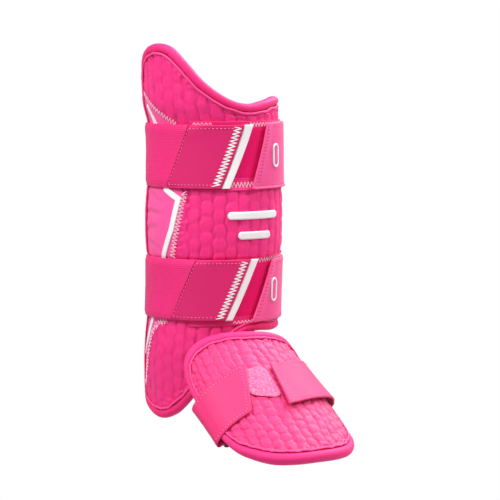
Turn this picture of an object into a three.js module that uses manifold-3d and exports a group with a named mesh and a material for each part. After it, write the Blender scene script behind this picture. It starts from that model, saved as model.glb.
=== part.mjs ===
// A two-piece padded leg guard for a batter's left leg, in millimetres, +Z up along the leg.
// The toe points to -Y and the wearer's inner side is -X. The origin is on the leg's axis, half way
// between the two calf straps. Places on both pads are given by a turn in degrees round the leg or the
// foot (0 at the front, positive towards the inner side), a height, and a distance out from the pad's face.
import * as THREE from "three";
import { ParametricGeometry } from "three/addons/geometries/ParametricGeometry.js";
import { mergeGeometries, mergeVertices } from "three/addons/utils/BufferGeometryUtils.js";
import Module from "manifold-3d";

// Sizes that every piece shares
const GAP = 0.65;
const RIM_GAP = 1.3;
const PAD_THICKNESS = 8;
const SHIN_BINDING_WIDTH = 8.6;
const FOOT_BINDING_WIDTH = 9.6;
const BINDING_BULGE = 1.2;
const BINDING_SIDES = 8;
const STRAP_THICKNESS = 2.2;
const PATCH_THICKNESS = 1.2;
const TAPE_THICKNESS = 0.7;
const BADGE_THICKNESS = 1.4;
const WELD_DISTANCE = 1e-3;
const OUTLINE_STEPS = 20;

// Cross sections of the shin pad's outer face: ovals that shift towards the inner side above and below
const SHIN_SECTIONS = [
  { z: -183, halfWidth: 61, frontDepth: 60, backDepth: 54, shiftX: -5 },
  { z: -130, halfWidth: 62.5, frontDepth: 61, backDepth: 55, shiftX: -5 },
  { z: -105, halfWidth: 61, frontDepth: 61, backDepth: 55, shiftX: -4.8 },
  { z: -85, halfWidth: 59.3, frontDepth: 60.5, backDepth: 56, shiftX: -3.5 },
  { z: -59, halfWidth: 59, frontDepth: 60.5, backDepth: 56, shiftX: -2.4 },
  { z: 0, halfWidth: 60, frontDepth: 61.5, backDepth: 58, shiftX: -1.5 },
  { z: 60, halfWidth: 59, frontDepth: 60.5, backDepth: 58, shiftX: -0.5 },
  { z: 88, halfWidth: 59.5, frontDepth: 60.5, backDepth: 59, shiftX: -1.5 },
  { z: 107, halfWidth: 61, frontDepth: 61, backDepth: 60, shiftX: -5 },
  { z: 170, halfWidth: 65, frontDepth: 61, backDepth: 60, shiftX: -5 },
];
const SHIN_MM_PER_DEGREE = 1.1;

// Outline of the shin shell, out to the edge of its binding, in four edges that meet at the corners
const SHIN_OUTLINE = [
  { turn: -86, height: 100, corner: true },
  { turn: -74, height: 110 },
  { turn: -55, height: 112.5 },
  { turn: -32, height: 111.5 },
  { turn: -15, height: 109 },
  { turn: 0, height: 107 },
  { turn: 14, height: 109.5 },
  { turn: 28, height: 117 },
  { turn: 42, height: 128.5 },
  { turn: 56, height: 144.5 },
  { turn: 70, height: 157.5 },
  { turn: 86, height: 161 },
  { turn: 103, height: 157 },
  { turn: 117, height: 145, corner: true },
  { turn: 125, height: 122 },
  { turn: 127, height: 80 },
  { turn: 127, height: 30 },
  { turn: 127, height: -20 },
  { turn: 127, height: -70 },
  { turn: 133, height: -112 },
  { turn: 132, height: -143 },
  { turn: 121, height: -164, corner: true },
  { turn: 102, height: -174 },
  { turn: 85, height: -178.5 },
  { turn: 70, height: -174.5 },
  { turn: 59, height: -166.5 },
  { turn: 48, height: -154 },
  { turn: 37, height: -137 },
  { turn: 24, height: -117 },
  { turn: 8, height: -101 },
  { turn: -10, height: -98.5 },
  { turn: -30, height: -100 },
  { turn: -52, height: -100 },
  { turn: -72, height: -99 },
  { turn: -84, height: -91, corner: true },
  { turn: -90, height: -70 },
  { turn: -91, height: -30 },
  { turn: -91, height: 15 },
  { turn: -91, height: 60 },
];
const SHIN_GRID = { slices: 26, stacks: 16 };
const SHIN_BINDING_STEPS = 66;

// Seam between the quilted pad and the smooth side panel, from the bottom up
const PANEL_SEAM = [
  { turn: 140, height: -158 },
  { turn: 114.5, height: -148 },
  { turn: 108, height: -132 },
  { turn: 104, height: -117 },
  { turn: 100.5, height: -104 },
  { turn: 91.5, height: -93 },
  { turn: 79, height: -88.5 },
  { turn: 73.7, height: -31 },
  { turn: 62, height: 26.5 },
  { turn: 66, height: 31 },
  { turn: 71, height: 88.5 },
  { turn: 83.5, height: 96 },
  { turn: 101, height: 107.5 },
  { turn: 118, height: 118 },
  { turn: 140, height: 128 },
];
const PANEL_SINK = 0.6;
const PANEL_THICKNESS = 5.4;
const PANEL_PAST_EDGE = 150;
const CUTTER_REACH = 6;
const CUTTER_SLICES = 8;

// White tape on the side panel, along its middle line from the bottom up
const STRIPE_LINE = [
  { turn: 116, height: -122 },
  { turn: 107.5, height: -106 },
  { turn: 102, height: -89 },
  { turn: 83.7, height: -30 },
  { turn: 74.2, height: -6 },
  { turn: 68, height: 21.5 },
  { turn: 82, height: 30 },
  { turn: 97.5, height: 87 },
  { turn: 107, height: 105 },
];
const STRIPE_WIDTH = 5.5;
const STRIPE_OUT = 0.1;
const STRIPE_STEPS = 5;

// Two plain raised bars on the front of the shin
const FRONT_BARS = [
  { name: "front_bar_upper", height: 7, halfLength: 28 },
  { name: "front_bar_lower", height: -11, halfLength: 18 },
];
const BAR_WIDTH = 7;
const BAR_GRID = { slices: 12, stacks: 2 };

// Calf straps: the turns of slanted ends are given at the strap's lower and upper edges
const LOOP_PATCH_TURN = 57;
const CALF_STRAPS = [
  {
    name: "upper",
    height: 60,
    width: 57,
    patch: { low: 29.5, high: 91.5 },
    tabStart: { low: 79, high: 57 },
    tabEnd: { low: 31, high: 10.5 },
    stripEnd: { low: 24, high: 2 },
    sideTabStart: { low: -62, high: -62 },
    sideTabEnd: { low: 6, high: -11 },
    badgeTurn: -23,
  },
  {
    name: "lower",
    height: -60,
    width: 55,
    patch: { low: -91, high: -31.5 },
    tabStart: { low: 72.5, high: 50.5 },
    tabEnd: { low: 26, high: 4.5 },
    stripEnd: { low: 19.5, high: -3.2 },
    sideTabStart: { low: -62, high: -62 },
    sideTabEnd: { low: 3.5, high: -17.5 },
    badgeTurn: -23,
  },
];
const SEAM_GAP_TURN = 0.4;
const STRAP_GRID = { slices: 36, stacks: 3 };
const TAB_GRID = { slices: 8, stacks: 4 };
const PATCH_GRID = { slices: 16, stacks: 4 };
const STRIP_GRID = { slices: 2, stacks: 4 };
const CALF_TUCK = 5;
const TUCK_START = 130;
const TUCK_END = 262;
const BADGE_LENGTH = 22;
const BADGE_WIDTH = 10;

// Foot guard: a half pipe over the instep that steepens towards the toe, in a frame of its own
const FOOT_ORIGIN = { x: -24.5, y: -75.5, z: -94.5 };
const FOOT_YAW = -2;
const FOOT_LENGTH = 158;
const FOOT_SLOPE = { top: 38, toe: 41 };
const FOOT_SECTIONS = [
  { along: 0, halfWidth: 61.5, arch: 31.5 },
  { along: 80, halfWidth: 66, arch: 35.5 },
  { along: 158, halfWidth: 66, arch: 34 },
];
const FOOT_MM_PER_DEGREE = 0.88;
const FOOT_OUTLINE = [
  { turn: -78, height: -14, corner: true },
  { turn: -62, height: -3 },
  { turn: -42, height: 0 },
  { turn: -20, height: 0 },
  { turn: 0, height: 0 },
  { turn: 20, height: 2 },
  { turn: 42, height: 2 },
  { turn: 62, height: -3 },
  { turn: 78, height: -14, corner: true },
  { turn: 87, height: -33 },
  { turn: 87, height: -56 },
  { turn: 84, height: -78 },
  { turn: 79, height: -99 },
  { turn: 71, height: -118, corner: true },
  { turn: 58, height: -132.5 },
  { turn: 40, height: -146.5 },
  { turn: 20, height: -153.5 },
  { turn: 0, height: -155 },
  { turn: -20, height: -153 },
  { turn: -40, height: -146 },
  { turn: -58, height: -132.5 },
  { turn: -71, height: -118, corner: true },
  { turn: -79, height: -99 },
  { turn: -84, height: -78 },
  { turn: -87, height: -56 },
  { turn: -87, height: -33 },
];
const FOOT_GRID = { slices: 18, stacks: 13 };
const FOOT_BINDING_STEPS = 48;

// Foot strap: each tab has its own line over the pad, which slants towards the toe on the inner side, and
// the elastic between them sags under the foot
const FOOT_STRAP = { width: 48, sag: 4.5, foldTurn: 88 };
const FOOT_TABS = {
  inner: { along: 61, slant: 0.2, end: { low: 34.5, high: 17.5 } },
  outer: { along: 71, slant: 0.27, end: { low: 4, high: -3 } },
};
const FOOT_PATCH = { along: 63, width: 34, start: 29, end: 2 };
const FOOT_BAND_GRID = { slices: 24, stacks: 2 };

// Hidden webbing from the shin pad's inner face to the foot pad's
const LINK = {
  shinTurn: -4,
  footTurn: -22,
  halfTurn: 14,
  shinTop: -64,
  shinLow: -91,
  below: -109,
  footAlong: 36,
  footEnd: 60,
};
const LINK_GRID = { slices: 4, stacks: 10 };

const COLOURS = { pink: "#ef2f86", deepPink: "#d81f73", white: "#f4f2f3", webbing: "#b8195f" };

const { degToRad, lerp } = THREE.MathUtils;

// Reads a column of a table at any place between its rows, along a smooth curve through them.
function readTable(rows, key, column, at) {
  const last = rows.length - 1;
  let row = 0;
  while (row < last - 1 && at > rows[row + 1][key]) row += 1;
  const near = rows[row];
  const far = rows[row + 1];
  const before = rows[Math.max(row - 1, 0)];
  const after = rows[Math.min(row + 2, last)];
  const span = far[key] - near[key];
  const t = THREE.MathUtils.clamp((at - near[key]) / span, 0, 1);
  const slopeNear = ((far[column] - before[column]) / (far[key] - before[key])) * span;
  const slopeFar = ((after[column] - near[column]) / (after[key] - near[key])) * span;
  const rise = far[column] - near[column];
  const bend = (3 - 2 * t) * t * t;
  return near[column] + rise * bend + slopeNear * t * (1 - t) * (1 - t) - slopeFar * t * t * (1 - t);
}

// A point on an oval, and its direction out: the turn starts at the front and grows to the inner side.
function ovalPlace(turn, halfWidth, depth) {
  const angle = degToRad(turn);
  const side = -Math.sin(angle);
  const front = Math.cos(angle);
  const out = new THREE.Vector2(side / halfWidth, front / depth).normalize();
  return { side: side * halfWidth, front: front * depth, out };
}

function shinPoint(turn, z, out) {
  const halfWidth = readTable(SHIN_SECTIONS, "z", "halfWidth", z);
  const shiftX = readTable(SHIN_SECTIONS, "z", "shiftX", z);
  const facesFront = Math.cos(degToRad(turn)) > 0;
  const depth = readTable(SHIN_SECTIONS, "z", facesFront ? "frontDepth" : "backDepth", z);
  const place = ovalPlace(turn, halfWidth, depth);
  const x = shiftX + place.side + place.out.x * out;
  const y = -(place.front + place.out.y * out);
  return new THREE.Vector3(x, y, z);
}

// The crown line of the foot guard: its place and slope at a distance along it from the top edge.
function crownLine(along) {
  const top = degToRad(FOOT_SLOPE.top);
  const bend = degToRad(FOOT_SLOPE.toe - FOOT_SLOPE.top) / FOOT_LENGTH;
  const slope = top + bend * along;
  const forward = (Math.sin(slope) - Math.sin(top)) / bend;
  const down = (Math.cos(top) - Math.cos(slope)) / bend;
  return { slope, forward, down };
}

// A point on the foot guard's arch, or past a quarter turn on the strap that sags below it.
function footPoint(turn, height, out) {
  const along = -height;
  const crown = crownLine(along);
  const halfWidth = readTable(FOOT_SECTIONS, "along", "halfWidth", along);
  const arch = readTable(FOOT_SECTIONS, "along", "arch", along);
  const overFoot = Math.cos(degToRad(turn)) > 0;
  const place = ovalPlace(turn, halfWidth, overFoot ? arch : FOOT_STRAP.sag);
  const x = place.side + place.out.x * out;
  const lift = place.front - arch + place.out.y * out;
  const forward = crown.forward + lift * Math.sin(crown.slope);
  const z = -crown.down + lift * Math.cos(crown.slope);
  return new THREE.Vector3(x, -forward, z);
}

// The middle height of a foot tab, in the foot pad's terms, where it crosses at a turn.
function footTabHeight(tab, turn) {
  return -(tab.along + tab.slant * turn);
}

// A closed outline on a developed pad, read by its share of the way round and a distance in from it.
class Outline {
  constructor(rows, mmPerDegree) {
    this.mmPerDegree = mmPerDegree;
    const points = rows.map((row) => new THREE.Vector3(row.turn * mmPerDegree, row.height, 0));
    this.curve = new THREE.CatmullRomCurve3(points, true, "catmullrom");
    this.curve.arcLengthDivisions = rows.length * OUTLINE_STEPS;
    const lengths = this.curve.getLengths();
    const shares = rows.map((row, index) => lengths[index * OUTLINE_STEPS] / lengths.at(-1));
    this.corners = shares.filter((share, index) => rows[index].corner);
  }

  at(share, inset) {
    const around = share - Math.floor(share);
    const point = this.curve.getPointAt(around);
    const along = this.curve.getTangentAt(around);
    return new THREE.Vector2(point.x + along.y * inset, point.y - along.x * inset);
  }

  // A place inside the outline: u runs from the inner side to the outer side, v from low to high.
  inside(u, v, inset) {
    const [topOuter, topInner, lowInner, lowOuter] = this.corners;
    const edge = (from, to, t) => this.at(lerp(from, to, t), inset);
    const top = edge(topInner, topOuter, u);
    const low = edge(lowInner, lowOuter, u);
    const inner = edge(lowInner, topInner, v);
    const outer = edge(lowOuter, topOuter + 1, v);
    const blend = (axis) => {
      const ruled = lerp(low[axis], top[axis], v) + lerp(inner[axis], outer[axis], u);
      const lowCorner = lerp(this.at(lowInner, inset)[axis], this.at(lowOuter, inset)[axis], u);
      const topCorner = lerp(this.at(topInner, inset)[axis], this.at(topOuter, inset)[axis], u);
      return ruled - lerp(lowCorner, topCorner, v);
    };
    return { turn: blend("x") / this.mmPerDegree, height: blend("y") };
  }
}

// Steps round the border of a grid, as shares across and up it.
function borderPlace(step, slices, stacks) {
  if (step <= slices) return [step / slices, 0];
  if (step <= slices + stacks) return [1, (step - slices) / stacks];
  if (step <= 2 * slices + stacks) return [(2 * slices + stacks - step) / slices, 1];
  return [0, (2 * (slices + stacks) - step) / stacks];
}

function closed(...geometries) {
  const merged = mergeGeometries(geometries);
  merged.deleteAttribute("normal");
  merged.deleteAttribute("uv");
  return mergeVertices(merged, WELD_DISTANCE);
}

// A closed wall between two faces, each a function of the shares across (u) and up (v).
function wall(outerFace, innerFace, { slices, stacks }) {
  const outer = new ParametricGeometry((u, v, at) => at.copy(outerFace(u, v)), slices, stacks);
  const inner = new ParametricGeometry((u, v, at) => at.copy(innerFace(1 - u, v)), slices, stacks);
  const steps = 2 * (slices + stacks);
  const rimPoint = (share, depth, at) => {
    const [u, v] = borderPlace(Math.round(share * steps), slices, stacks);
    return at.copy(innerFace(u, v)).lerp(outerFace(u, v), depth);
  };
  return closed(outer, inner, new ParametricGeometry(rimPoint, steps, 1));
}

// A pad that fills an outline, from its outer face down to its thickness.
function pad(outline, surface, inset, sink, thickness, grid) {
  const face = (depth) => (u, v) => {
    const place = outline.inside(u, v, inset);
    return surface(place.turn, place.height, -depth);
  };
  return wall(face(sink), face(sink + thickness), grid);
}

// A rolled edge: a closed tube of oval section along an outline.
function binding(outline, surface, steps, width) {
  const halfWidth = width / 2;
  const halfDepth = PAD_THICKNESS / 2 + BINDING_BULGE;
  const section = (share, round, at) => {
    const angle = round * Math.PI * 2;
    const place = outline.at(share, halfWidth + halfWidth * Math.cos(angle));
    const out = -PAD_THICKNESS / 2 - halfDepth * Math.sin(angle);
    return at.copy(surface(place.x / outline.mmPerDegree, place.y, out));
  };
  return closed(new ParametricGeometry(section, steps, BINDING_SIDES));
}

// A flat strip on a surface, between slanted ends: it runs from the inner side to the outer side.
function strip(surface, { start, end, low, high, out, thickness }, grid) {
  const face = (depth) => (u, v) => {
    const turn = lerp(lerp(start.low, end.low, u), lerp(start.high, end.high, u), v);
    return surface(turn, lerp(low, high, v), depth);
  };
  return wall(face(out + thickness), face(out), grid);
}

// A raised bar with round ends, flat on a surface.
function bar(surface, { turn, height, halfLength, halfWidth, upright }, mmPerDegree, out, thickness) {
  const straight = halfLength - halfWidth;
  const face = (depth) => (u, v) => {
    const along = halfLength * Math.cos(u * Math.PI);
    const pastStraight = Math.max(Math.abs(along) - straight, 0);
    const across = Math.sqrt(Math.max(halfWidth ** 2 - pastStraight ** 2, 0)) * (2 * v - 1);
    const [side, up] = upright ? [-across, along] : [along, across];
    return surface(turn + side / mmPerDegree, height + up, depth);
  };
  return wall(face(out + thickness), face(out), BAR_GRID);
}

function material(colour, roughness) {
  return new THREE.MeshStandardMaterial({ color: colour, roughness, metalness: 0 });
}

const finishes = {
  pad: material(COLOURS.pink, 0.75),
  panel: material(COLOURS.pink, 0.65),
  edge: material(COLOURS.pink, 0.6),
  elastic: material(COLOURS.deepPink, 0.8),
  loop: material(COLOURS.pink, 0.95),
  white: material(COLOURS.white, 0.5),
  webbing: material(COLOURS.webbing, 0.85),
};

const wasm = await Module();
wasm.setup();

function toSolid(geometry) {
  const vertProperties = new Float32Array(geometry.attributes.position.array);
  const triVerts = new Uint32Array(geometry.index.array);
  return new wasm.Manifold(new wasm.Mesh({ numProp: 3, vertProperties, triVerts }));
}

function toGeometry(solid) {
  const { vertProperties, triVerts } = solid.getMesh();
  const geometry = new THREE.BufferGeometry();
  geometry.setAttribute("position", new THREE.BufferAttribute(vertProperties, 3));
  geometry.setIndex(new THREE.BufferAttribute(triVerts, 1));
  return geometry;
}

function addPiece(group, name, geometry, finish) {
  const mesh = new THREE.Mesh(geometry, finish);
  mesh.name = name;
  group.add(mesh);
}

// The space of the side panel, from its seam to past the shell's back edge, right through the pad.
function panelSpace(seamShift) {
  const stacks = PANEL_SEAM.length - 1;
  const face = (out) => (u, v) => {
    const row = PANEL_SEAM[Math.round(v * stacks)];
    const turn = lerp(PANEL_PAST_EDGE, row.turn + seamShift, u);
    return shinPoint(turn, row.height, out);
  };
  const outerFace = face(CUTTER_REACH);
  const innerFace = face(-PAD_THICKNESS - CUTTER_REACH);
  return toSolid(wall(outerFace, innerFace, { slices: CUTTER_SLICES, stacks }));
}

// The tape along its line, with mitred kinks.
function sideStripe() {
  const line = STRIPE_LINE.map((row) => new THREE.Vector2(row.turn * SHIN_MM_PER_DEGREE, row.height));
  const rows = line.length - 1;
  const direction = (index) => line[index + 1].clone().sub(line[index]).normalize();
  const edgeShift = (index) => {
    const below = direction(Math.max(index - 1, 0));
    const above = direction(Math.min(index, rows - 1));
    const along = below.clone().add(above).normalize();
    const across = new THREE.Vector2(along.y, -along.x);
    return across.multiplyScalar(STRIPE_WIDTH / 2 / along.dot(below));
  };
  const face = (out) => (u, v) => {
    const step = Math.round(v * rows * STRIPE_STEPS);
    const index = Math.min(Math.floor(step / STRIPE_STEPS), rows - 1);
    const t = step / STRIPE_STEPS - index;
    const middle = line[index].clone().lerp(line[index + 1], t);
    const shift = edgeShift(index).lerp(edgeShift(index + 1), t);
    const place = middle.addScaledVector(shift, 1 - 2 * u);
    return shinPoint(place.x / SHIN_MM_PER_DEGREE, place.y, out);
  };
  const grid = { slices: 1, stacks: rows * STRIPE_STEPS };
  return wall(face(STRIPE_OUT + TAPE_THICKNESS), face(STRIPE_OUT), grid);
}

function shinGuard() {
  const group = new THREE.Group();
  const outline = new Outline(SHIN_OUTLINE, SHIN_MM_PER_DEGREE);
  const inset = SHIN_BINDING_WIDTH + RIM_GAP;
  const whole = toSolid(pad(outline, shinPoint, inset, 0, PAD_THICKNESS, SHIN_GRID));
  const thin = toSolid(pad(outline, shinPoint, inset, PANEL_SINK, PANEL_THICKNESS, SHIN_GRID));
  const halfGap = GAP / 2 / SHIN_MM_PER_DEGREE;
  addPiece(group, "shin_pad", toGeometry(whole.subtract(panelSpace(-halfGap))), finishes.pad);
  addPiece(group, "side_panel", toGeometry(thin.intersect(panelSpace(halfGap))), finishes.panel);
  const rolled = binding(outline, shinPoint, SHIN_BINDING_STEPS, SHIN_BINDING_WIDTH);
  addPiece(group, "shin_binding", rolled, finishes.edge);
  addPiece(group, "side_stripe", sideStripe(), finishes.white);
  for (const { name, height, halfLength } of FRONT_BARS) {
    const shape = { turn: 0, height, halfLength, halfWidth: BAR_WIDTH / 2, upright: false };
    const raised = bar(shinPoint, shape, SHIN_MM_PER_DEGREE, GAP, BADGE_THICKNESS);
    addPiece(group, name, raised, finishes.white);
  }
  return group;
}

// The elastic leaves the shell's face at its back edges and lies closer to the calf between them.
function calfPoint(turn, z, out) {
  const middle = (TUCK_START + TUCK_END) / 2;
  const reach = (TUCK_END - TUCK_START) / 2;
  const away = THREE.MathUtils.clamp(1 - Math.abs(turn - middle) / reach, 0, 1);
  const tuck = CALF_TUCK * THREE.MathUtils.smoothstep(away, 0, 1);
  return shinPoint(turn, z, out - tuck);
}

function calfStrap(strap) {
  const group = new THREE.Group();
  const { name, height, patch, tabStart, tabEnd, stripEnd, sideTabStart, sideTabEnd, badgeTurn } = strap;
  const shift = (ends, by) => ({ low: ends.low + by, high: ends.high + by });
  const loopPatch = {
    start: { low: LOOP_PATCH_TURN, high: LOOP_PATCH_TURN },
    end: { low: -LOOP_PATCH_TURN, high: -LOOP_PATCH_TURN },
    ...patch,
    out: GAP,
    thickness: PATCH_THICKNESS,
  };
  const out = PATCH_THICKNESS + 2 * GAP;
  const halfWidth = strap.width / 2;
  const webbing = { low: height - halfWidth, high: height + halfWidth, out, thickness: STRAP_THICKNESS };
  const bandStart = shift(sideTabStart, 360 - SEAM_GAP_TURN);
  const band = { ...webbing, start: bandStart, end: shift(tabStart, SEAM_GAP_TURN) };
  const frontTab = { ...webbing, start: tabStart, end: tabEnd };
  const endStrip = { ...webbing, start: shift(tabEnd, -SEAM_GAP_TURN), end: stripEnd };
  const sideTab = { ...webbing, start: sideTabEnd, end: sideTabStart };
  const badge = {
    turn: badgeTurn,
    height,
    halfLength: BADGE_LENGTH / 2,
    halfWidth: BADGE_WIDTH / 2,
    upright: true,
  };
  const badgeOut = out + STRAP_THICKNESS + GAP;
  const raised = bar(shinPoint, badge, SHIN_MM_PER_DEGREE, badgeOut, BADGE_THICKNESS);
  addPiece(group, `${name}_loop_patch`, strip(shinPoint, loopPatch, PATCH_GRID), finishes.loop);
  addPiece(group, `${name}_strap_band`, strip(calfPoint, band, STRAP_GRID), finishes.elastic);
  addPiece(group, `${name}_front_tab`, strip(shinPoint, frontTab, TAB_GRID), finishes.elastic);
  addPiece(group, `${name}_end_strip`, strip(shinPoint, endStrip, STRIP_GRID), finishes.white);
  addPiece(group, `${name}_side_tab`, strip(shinPoint, sideTab, TAB_GRID), finishes.elastic);
  addPiece(group, `${name}_tab_badge`, raised, finishes.white);
  return group;
}

function footGuard() {
  const group = new THREE.Group();
  const outline = new Outline(FOOT_OUTLINE, FOOT_MM_PER_DEGREE);
  const { inner, outer } = FOOT_TABS;
  const { width, foldTurn } = FOOT_STRAP;
  const square = (turn) => ({ low: turn, high: turn });
  const along = (tab) => (turn, offset, out) => footPoint(turn, footTabHeight(tab, turn) + offset, out);
  const patchPoint = (turn, offset, out) => footPoint(turn, offset - FOOT_PATCH.along, out);
  const underPoint = (turn, offset, out) => {
    const share = (turn - foldTurn) / (360 - 2 * foldTurn);
    const middle = lerp(footTabHeight(inner, foldTurn), footTabHeight(outer, -foldTurn), share);
    return footPoint(turn, middle + offset, out);
  };
  const patch = {
    start: square(FOOT_PATCH.start),
    end: square(FOOT_PATCH.end),
    low: -FOOT_PATCH.width / 2,
    high: FOOT_PATCH.width / 2,
    out: GAP,
    thickness: PATCH_THICKNESS,
  };
  const out = PATCH_THICKNESS + 2 * GAP;
  const webbing = { low: -width / 2, high: width / 2, out, thickness: STRAP_THICKNESS };
  const innerTab = { ...webbing, start: square(foldTurn), end: inner.end };
  const outerTab = { ...webbing, start: outer.end, end: square(-foldTurn) };
  const bandStart = square(360 - foldTurn - SEAM_GAP_TURN);
  const band = { ...webbing, start: bandStart, end: square(foldTurn + SEAM_GAP_TURN) };
  const shell = pad(outline, footPoint, FOOT_BINDING_WIDTH + RIM_GAP, 0, PAD_THICKNESS, FOOT_GRID);
  const rolled = binding(outline, footPoint, FOOT_BINDING_STEPS, FOOT_BINDING_WIDTH);
  addPiece(group, "foot_pad", shell, finishes.pad);
  addPiece(group, "foot_binding", rolled, finishes.edge);
  addPiece(group, "foot_loop_patch", strip(patchPoint, patch, TAB_GRID), finishes.loop);
  addPiece(group, "foot_strap_band", strip(underPoint, band, FOOT_BAND_GRID), finishes.elastic);
  addPiece(group, "foot_inner_tab", strip(along(inner), innerTab, TAB_GRID), finishes.elastic);
  addPiece(group, "foot_outer_tab", strip(along(outer), outerTab, TAB_GRID), finishes.elastic);
  group.position.set(FOOT_ORIGIN.x, FOOT_ORIGIN.y, FOOT_ORIGIN.z);
  group.rotation.z = degToRad(FOOT_YAW);
  group.updateMatrix();
  return group;
}

// Webbing that leaves the shin pad's inner face, passes inside its lower binding and joins the foot pad.
function footLink(footFrame) {
  const face = (depth) => (u, v) => {
    const side = lerp(LINK.halfTurn, -LINK.halfTurn, u);
    const flat = -(PAD_THICKNESS + RIM_GAP + depth);
    const clear = flat - BINDING_BULGE;
    const onFoot = (along) => footPoint(LINK.footTurn + side, -along, flat).applyMatrix4(footFrame);
    const route = new THREE.CatmullRomCurve3([
      onFoot(LINK.footEnd),
      onFoot(LINK.footAlong),
      shinPoint(LINK.shinTurn + side, LINK.below, clear),
      shinPoint(LINK.shinTurn + side, LINK.shinLow, clear),
      shinPoint(LINK.shinTurn + side, LINK.shinTop, flat),
    ]);
    return route.getPoint(v);
  };
  return wall(face(0), face(STRAP_THICKNESS), LINK_GRID);
}

const guard = new THREE.Group();
guard.name = "batters_leg_guard";
guard.add(shinGuard());
for (const strap of CALF_STRAPS) guard.add(calfStrap(strap));
const foot = footGuard();
guard.add(foot);
addPiece(guard, "foot_link", footLink(foot.matrix), finishes.webbing);

export default guard;
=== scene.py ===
"""The looks of a batter's leg guard: quilted pads, rolled edges, stitched straps and their finishes.

Sizes are in millimetres until a mesh is written, and Blender's metres after that. A place on either pad is a
turn in degrees (0 at the front, positive towards the wearer's inner side), a height, and a distance out from
the pad's face, as in the part's own source.
"""

import logging
import math
from abc import ABC, abstractmethod
from dataclasses import dataclass, field
from enum import Enum
from functools import partial
from typing import Callable, Iterator, NamedTuple, Sequence

import bmesh
import bpy
import numpy as np
from mathutils import Matrix, Vector

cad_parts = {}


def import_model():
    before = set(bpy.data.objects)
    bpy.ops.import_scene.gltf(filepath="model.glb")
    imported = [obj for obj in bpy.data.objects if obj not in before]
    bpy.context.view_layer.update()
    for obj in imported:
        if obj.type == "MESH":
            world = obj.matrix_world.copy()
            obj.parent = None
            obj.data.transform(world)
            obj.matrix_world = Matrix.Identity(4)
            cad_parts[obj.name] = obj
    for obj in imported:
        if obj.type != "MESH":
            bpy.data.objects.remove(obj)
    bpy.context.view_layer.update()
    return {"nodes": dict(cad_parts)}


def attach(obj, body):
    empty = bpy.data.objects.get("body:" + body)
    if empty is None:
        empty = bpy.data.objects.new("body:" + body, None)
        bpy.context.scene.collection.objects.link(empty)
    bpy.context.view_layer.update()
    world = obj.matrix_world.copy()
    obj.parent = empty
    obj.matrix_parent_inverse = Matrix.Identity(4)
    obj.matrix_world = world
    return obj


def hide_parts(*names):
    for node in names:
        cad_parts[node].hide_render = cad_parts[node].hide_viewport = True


LOG = logging.getLogger("leg_guard")
MM = 0.001
TINY = 1e-6
BODY = "root"
Array = np.ndarray
BMesh = bmesh.types.BMesh
Socket = bpy.types.NodeSocket
Tree = bpy.types.NodeTree
Field = Callable[[Array, Array], Array]
Spot = tuple[float, float]
NOISE_WAVES = 14
NOISE_SIZES = (0.7, 1.6)
SCREEN_WHITE = 255
SCREEN_OFFSET = 0.055
SCREEN_POWER = 2.4
# Shares of red, green and blue that paint shade into a quilt's grooves.
FOLD_SHADE = (0.66, 0.25, 0.42)
PATCH_DYE = 0.62
SHEEN_ROUGHNESS = 0.4


class ShinSection(NamedTuple):
    """One cross section of the shin shell's outer face."""

    z: float
    half_width: float
    front_depth: float
    back_depth: float
    shift_x: float


class FootSection(NamedTuple):
    """One cross section of the foot guard's arch."""

    along: float
    half_width: float
    arch: float


class Corner(Enum):
    """Whether a row of an outline is a corner where two of its four edges meet."""

    NO = 0
    YES = 1


class EdgeRow(NamedTuple):
    """One point of a pad's outline."""

    turn: float
    height: float
    corner: Corner = Corner.NO


def edge_rows(*rows: tuple) -> tuple[EdgeRow, ...]:
    """A table of rows, each given as a turn, a height, and whether it is a corner."""
    return tuple(EdgeRow(*row) for row in rows)


class SeamStretch(NamedTuple):
    """One stretch of the panel's seam that no strap covers, with its zigzag's half width."""

    low: float
    high: float
    half_width: float


class Ends(NamedTuple):
    """The turns of a slanted end at a strap's lower and upper edges."""

    low: float
    high: float

    def moved(self, by: float) -> "Ends":
        """The same slant further round."""
        return Ends(self.low + by, self.high + by)


SHIN_SECTIONS = (
    ShinSection(-183, 61, 60, 54, -5),
    ShinSection(-130, 62.5, 61, 55, -5),
    ShinSection(-105, 61, 61, 55, -4.8),
    ShinSection(-85, 59.3, 60.5, 56, -3.5),
    ShinSection(-59, 59, 60.5, 56, -2.4),
    ShinSection(0, 60, 61.5, 58, -1.5),
    ShinSection(60, 59, 60.5, 58, -0.5),
    ShinSection(88, 59.5, 60.5, 59, -1.5),
    ShinSection(107, 61, 61, 60, -5),
    ShinSection(170, 65, 61, 60, -5),
)
SHIN_OUTLINE = edge_rows(
    (-86, 100, Corner.YES), (-74, 110), (-55, 112.5), (-32, 111.5), (-15, 109), (0, 107), (14, 109.5),
    (28, 117), (42, 128.5), (56, 144.5), (70, 157.5), (86, 161), (103, 157),
    (117, 145, Corner.YES), (125, 122), (127, 80), (127, 30), (127, -20), (127, -70), (133, -112),
    (132, -143),
    (121, -164, Corner.YES), (102, -174), (85, -178.5), (70, -174.5), (59, -166.5), (48, -154),
    (37, -137), (24, -117), (8, -101), (-10, -98.5), (-30, -100), (-52, -100), (-72, -99),
    (-84, -91, Corner.YES), (-90, -70), (-91, -30), (-91, 15), (-91, 60),
)
PANEL_SEAM = edge_rows(
    (140, -158), (114.5, -148), (108, -132), (104, -117), (100.5, -104), (91.5, -93), (79, -88.5),
    (73.7, -31), (62, 26.5), (66, 31), (71, 88.5), (83.5, 96), (101, 107.5), (118, 118), (140, 128),
)
SEAM_STRETCHES = (
    SeamStretch(-152, -88.5, 3.4),
    SeamStretch(-31.5, 28, 3),
    SeamStretch(88, 116, 2.5),
)
STRIPE_LINE = edge_rows(
    (116, -122), (107.5, -106), (102, -89), (83.7, -30), (74.2, -6), (68, 21.5), (82, 30), (97.5, 87),
    (107, 105),
)
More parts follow.
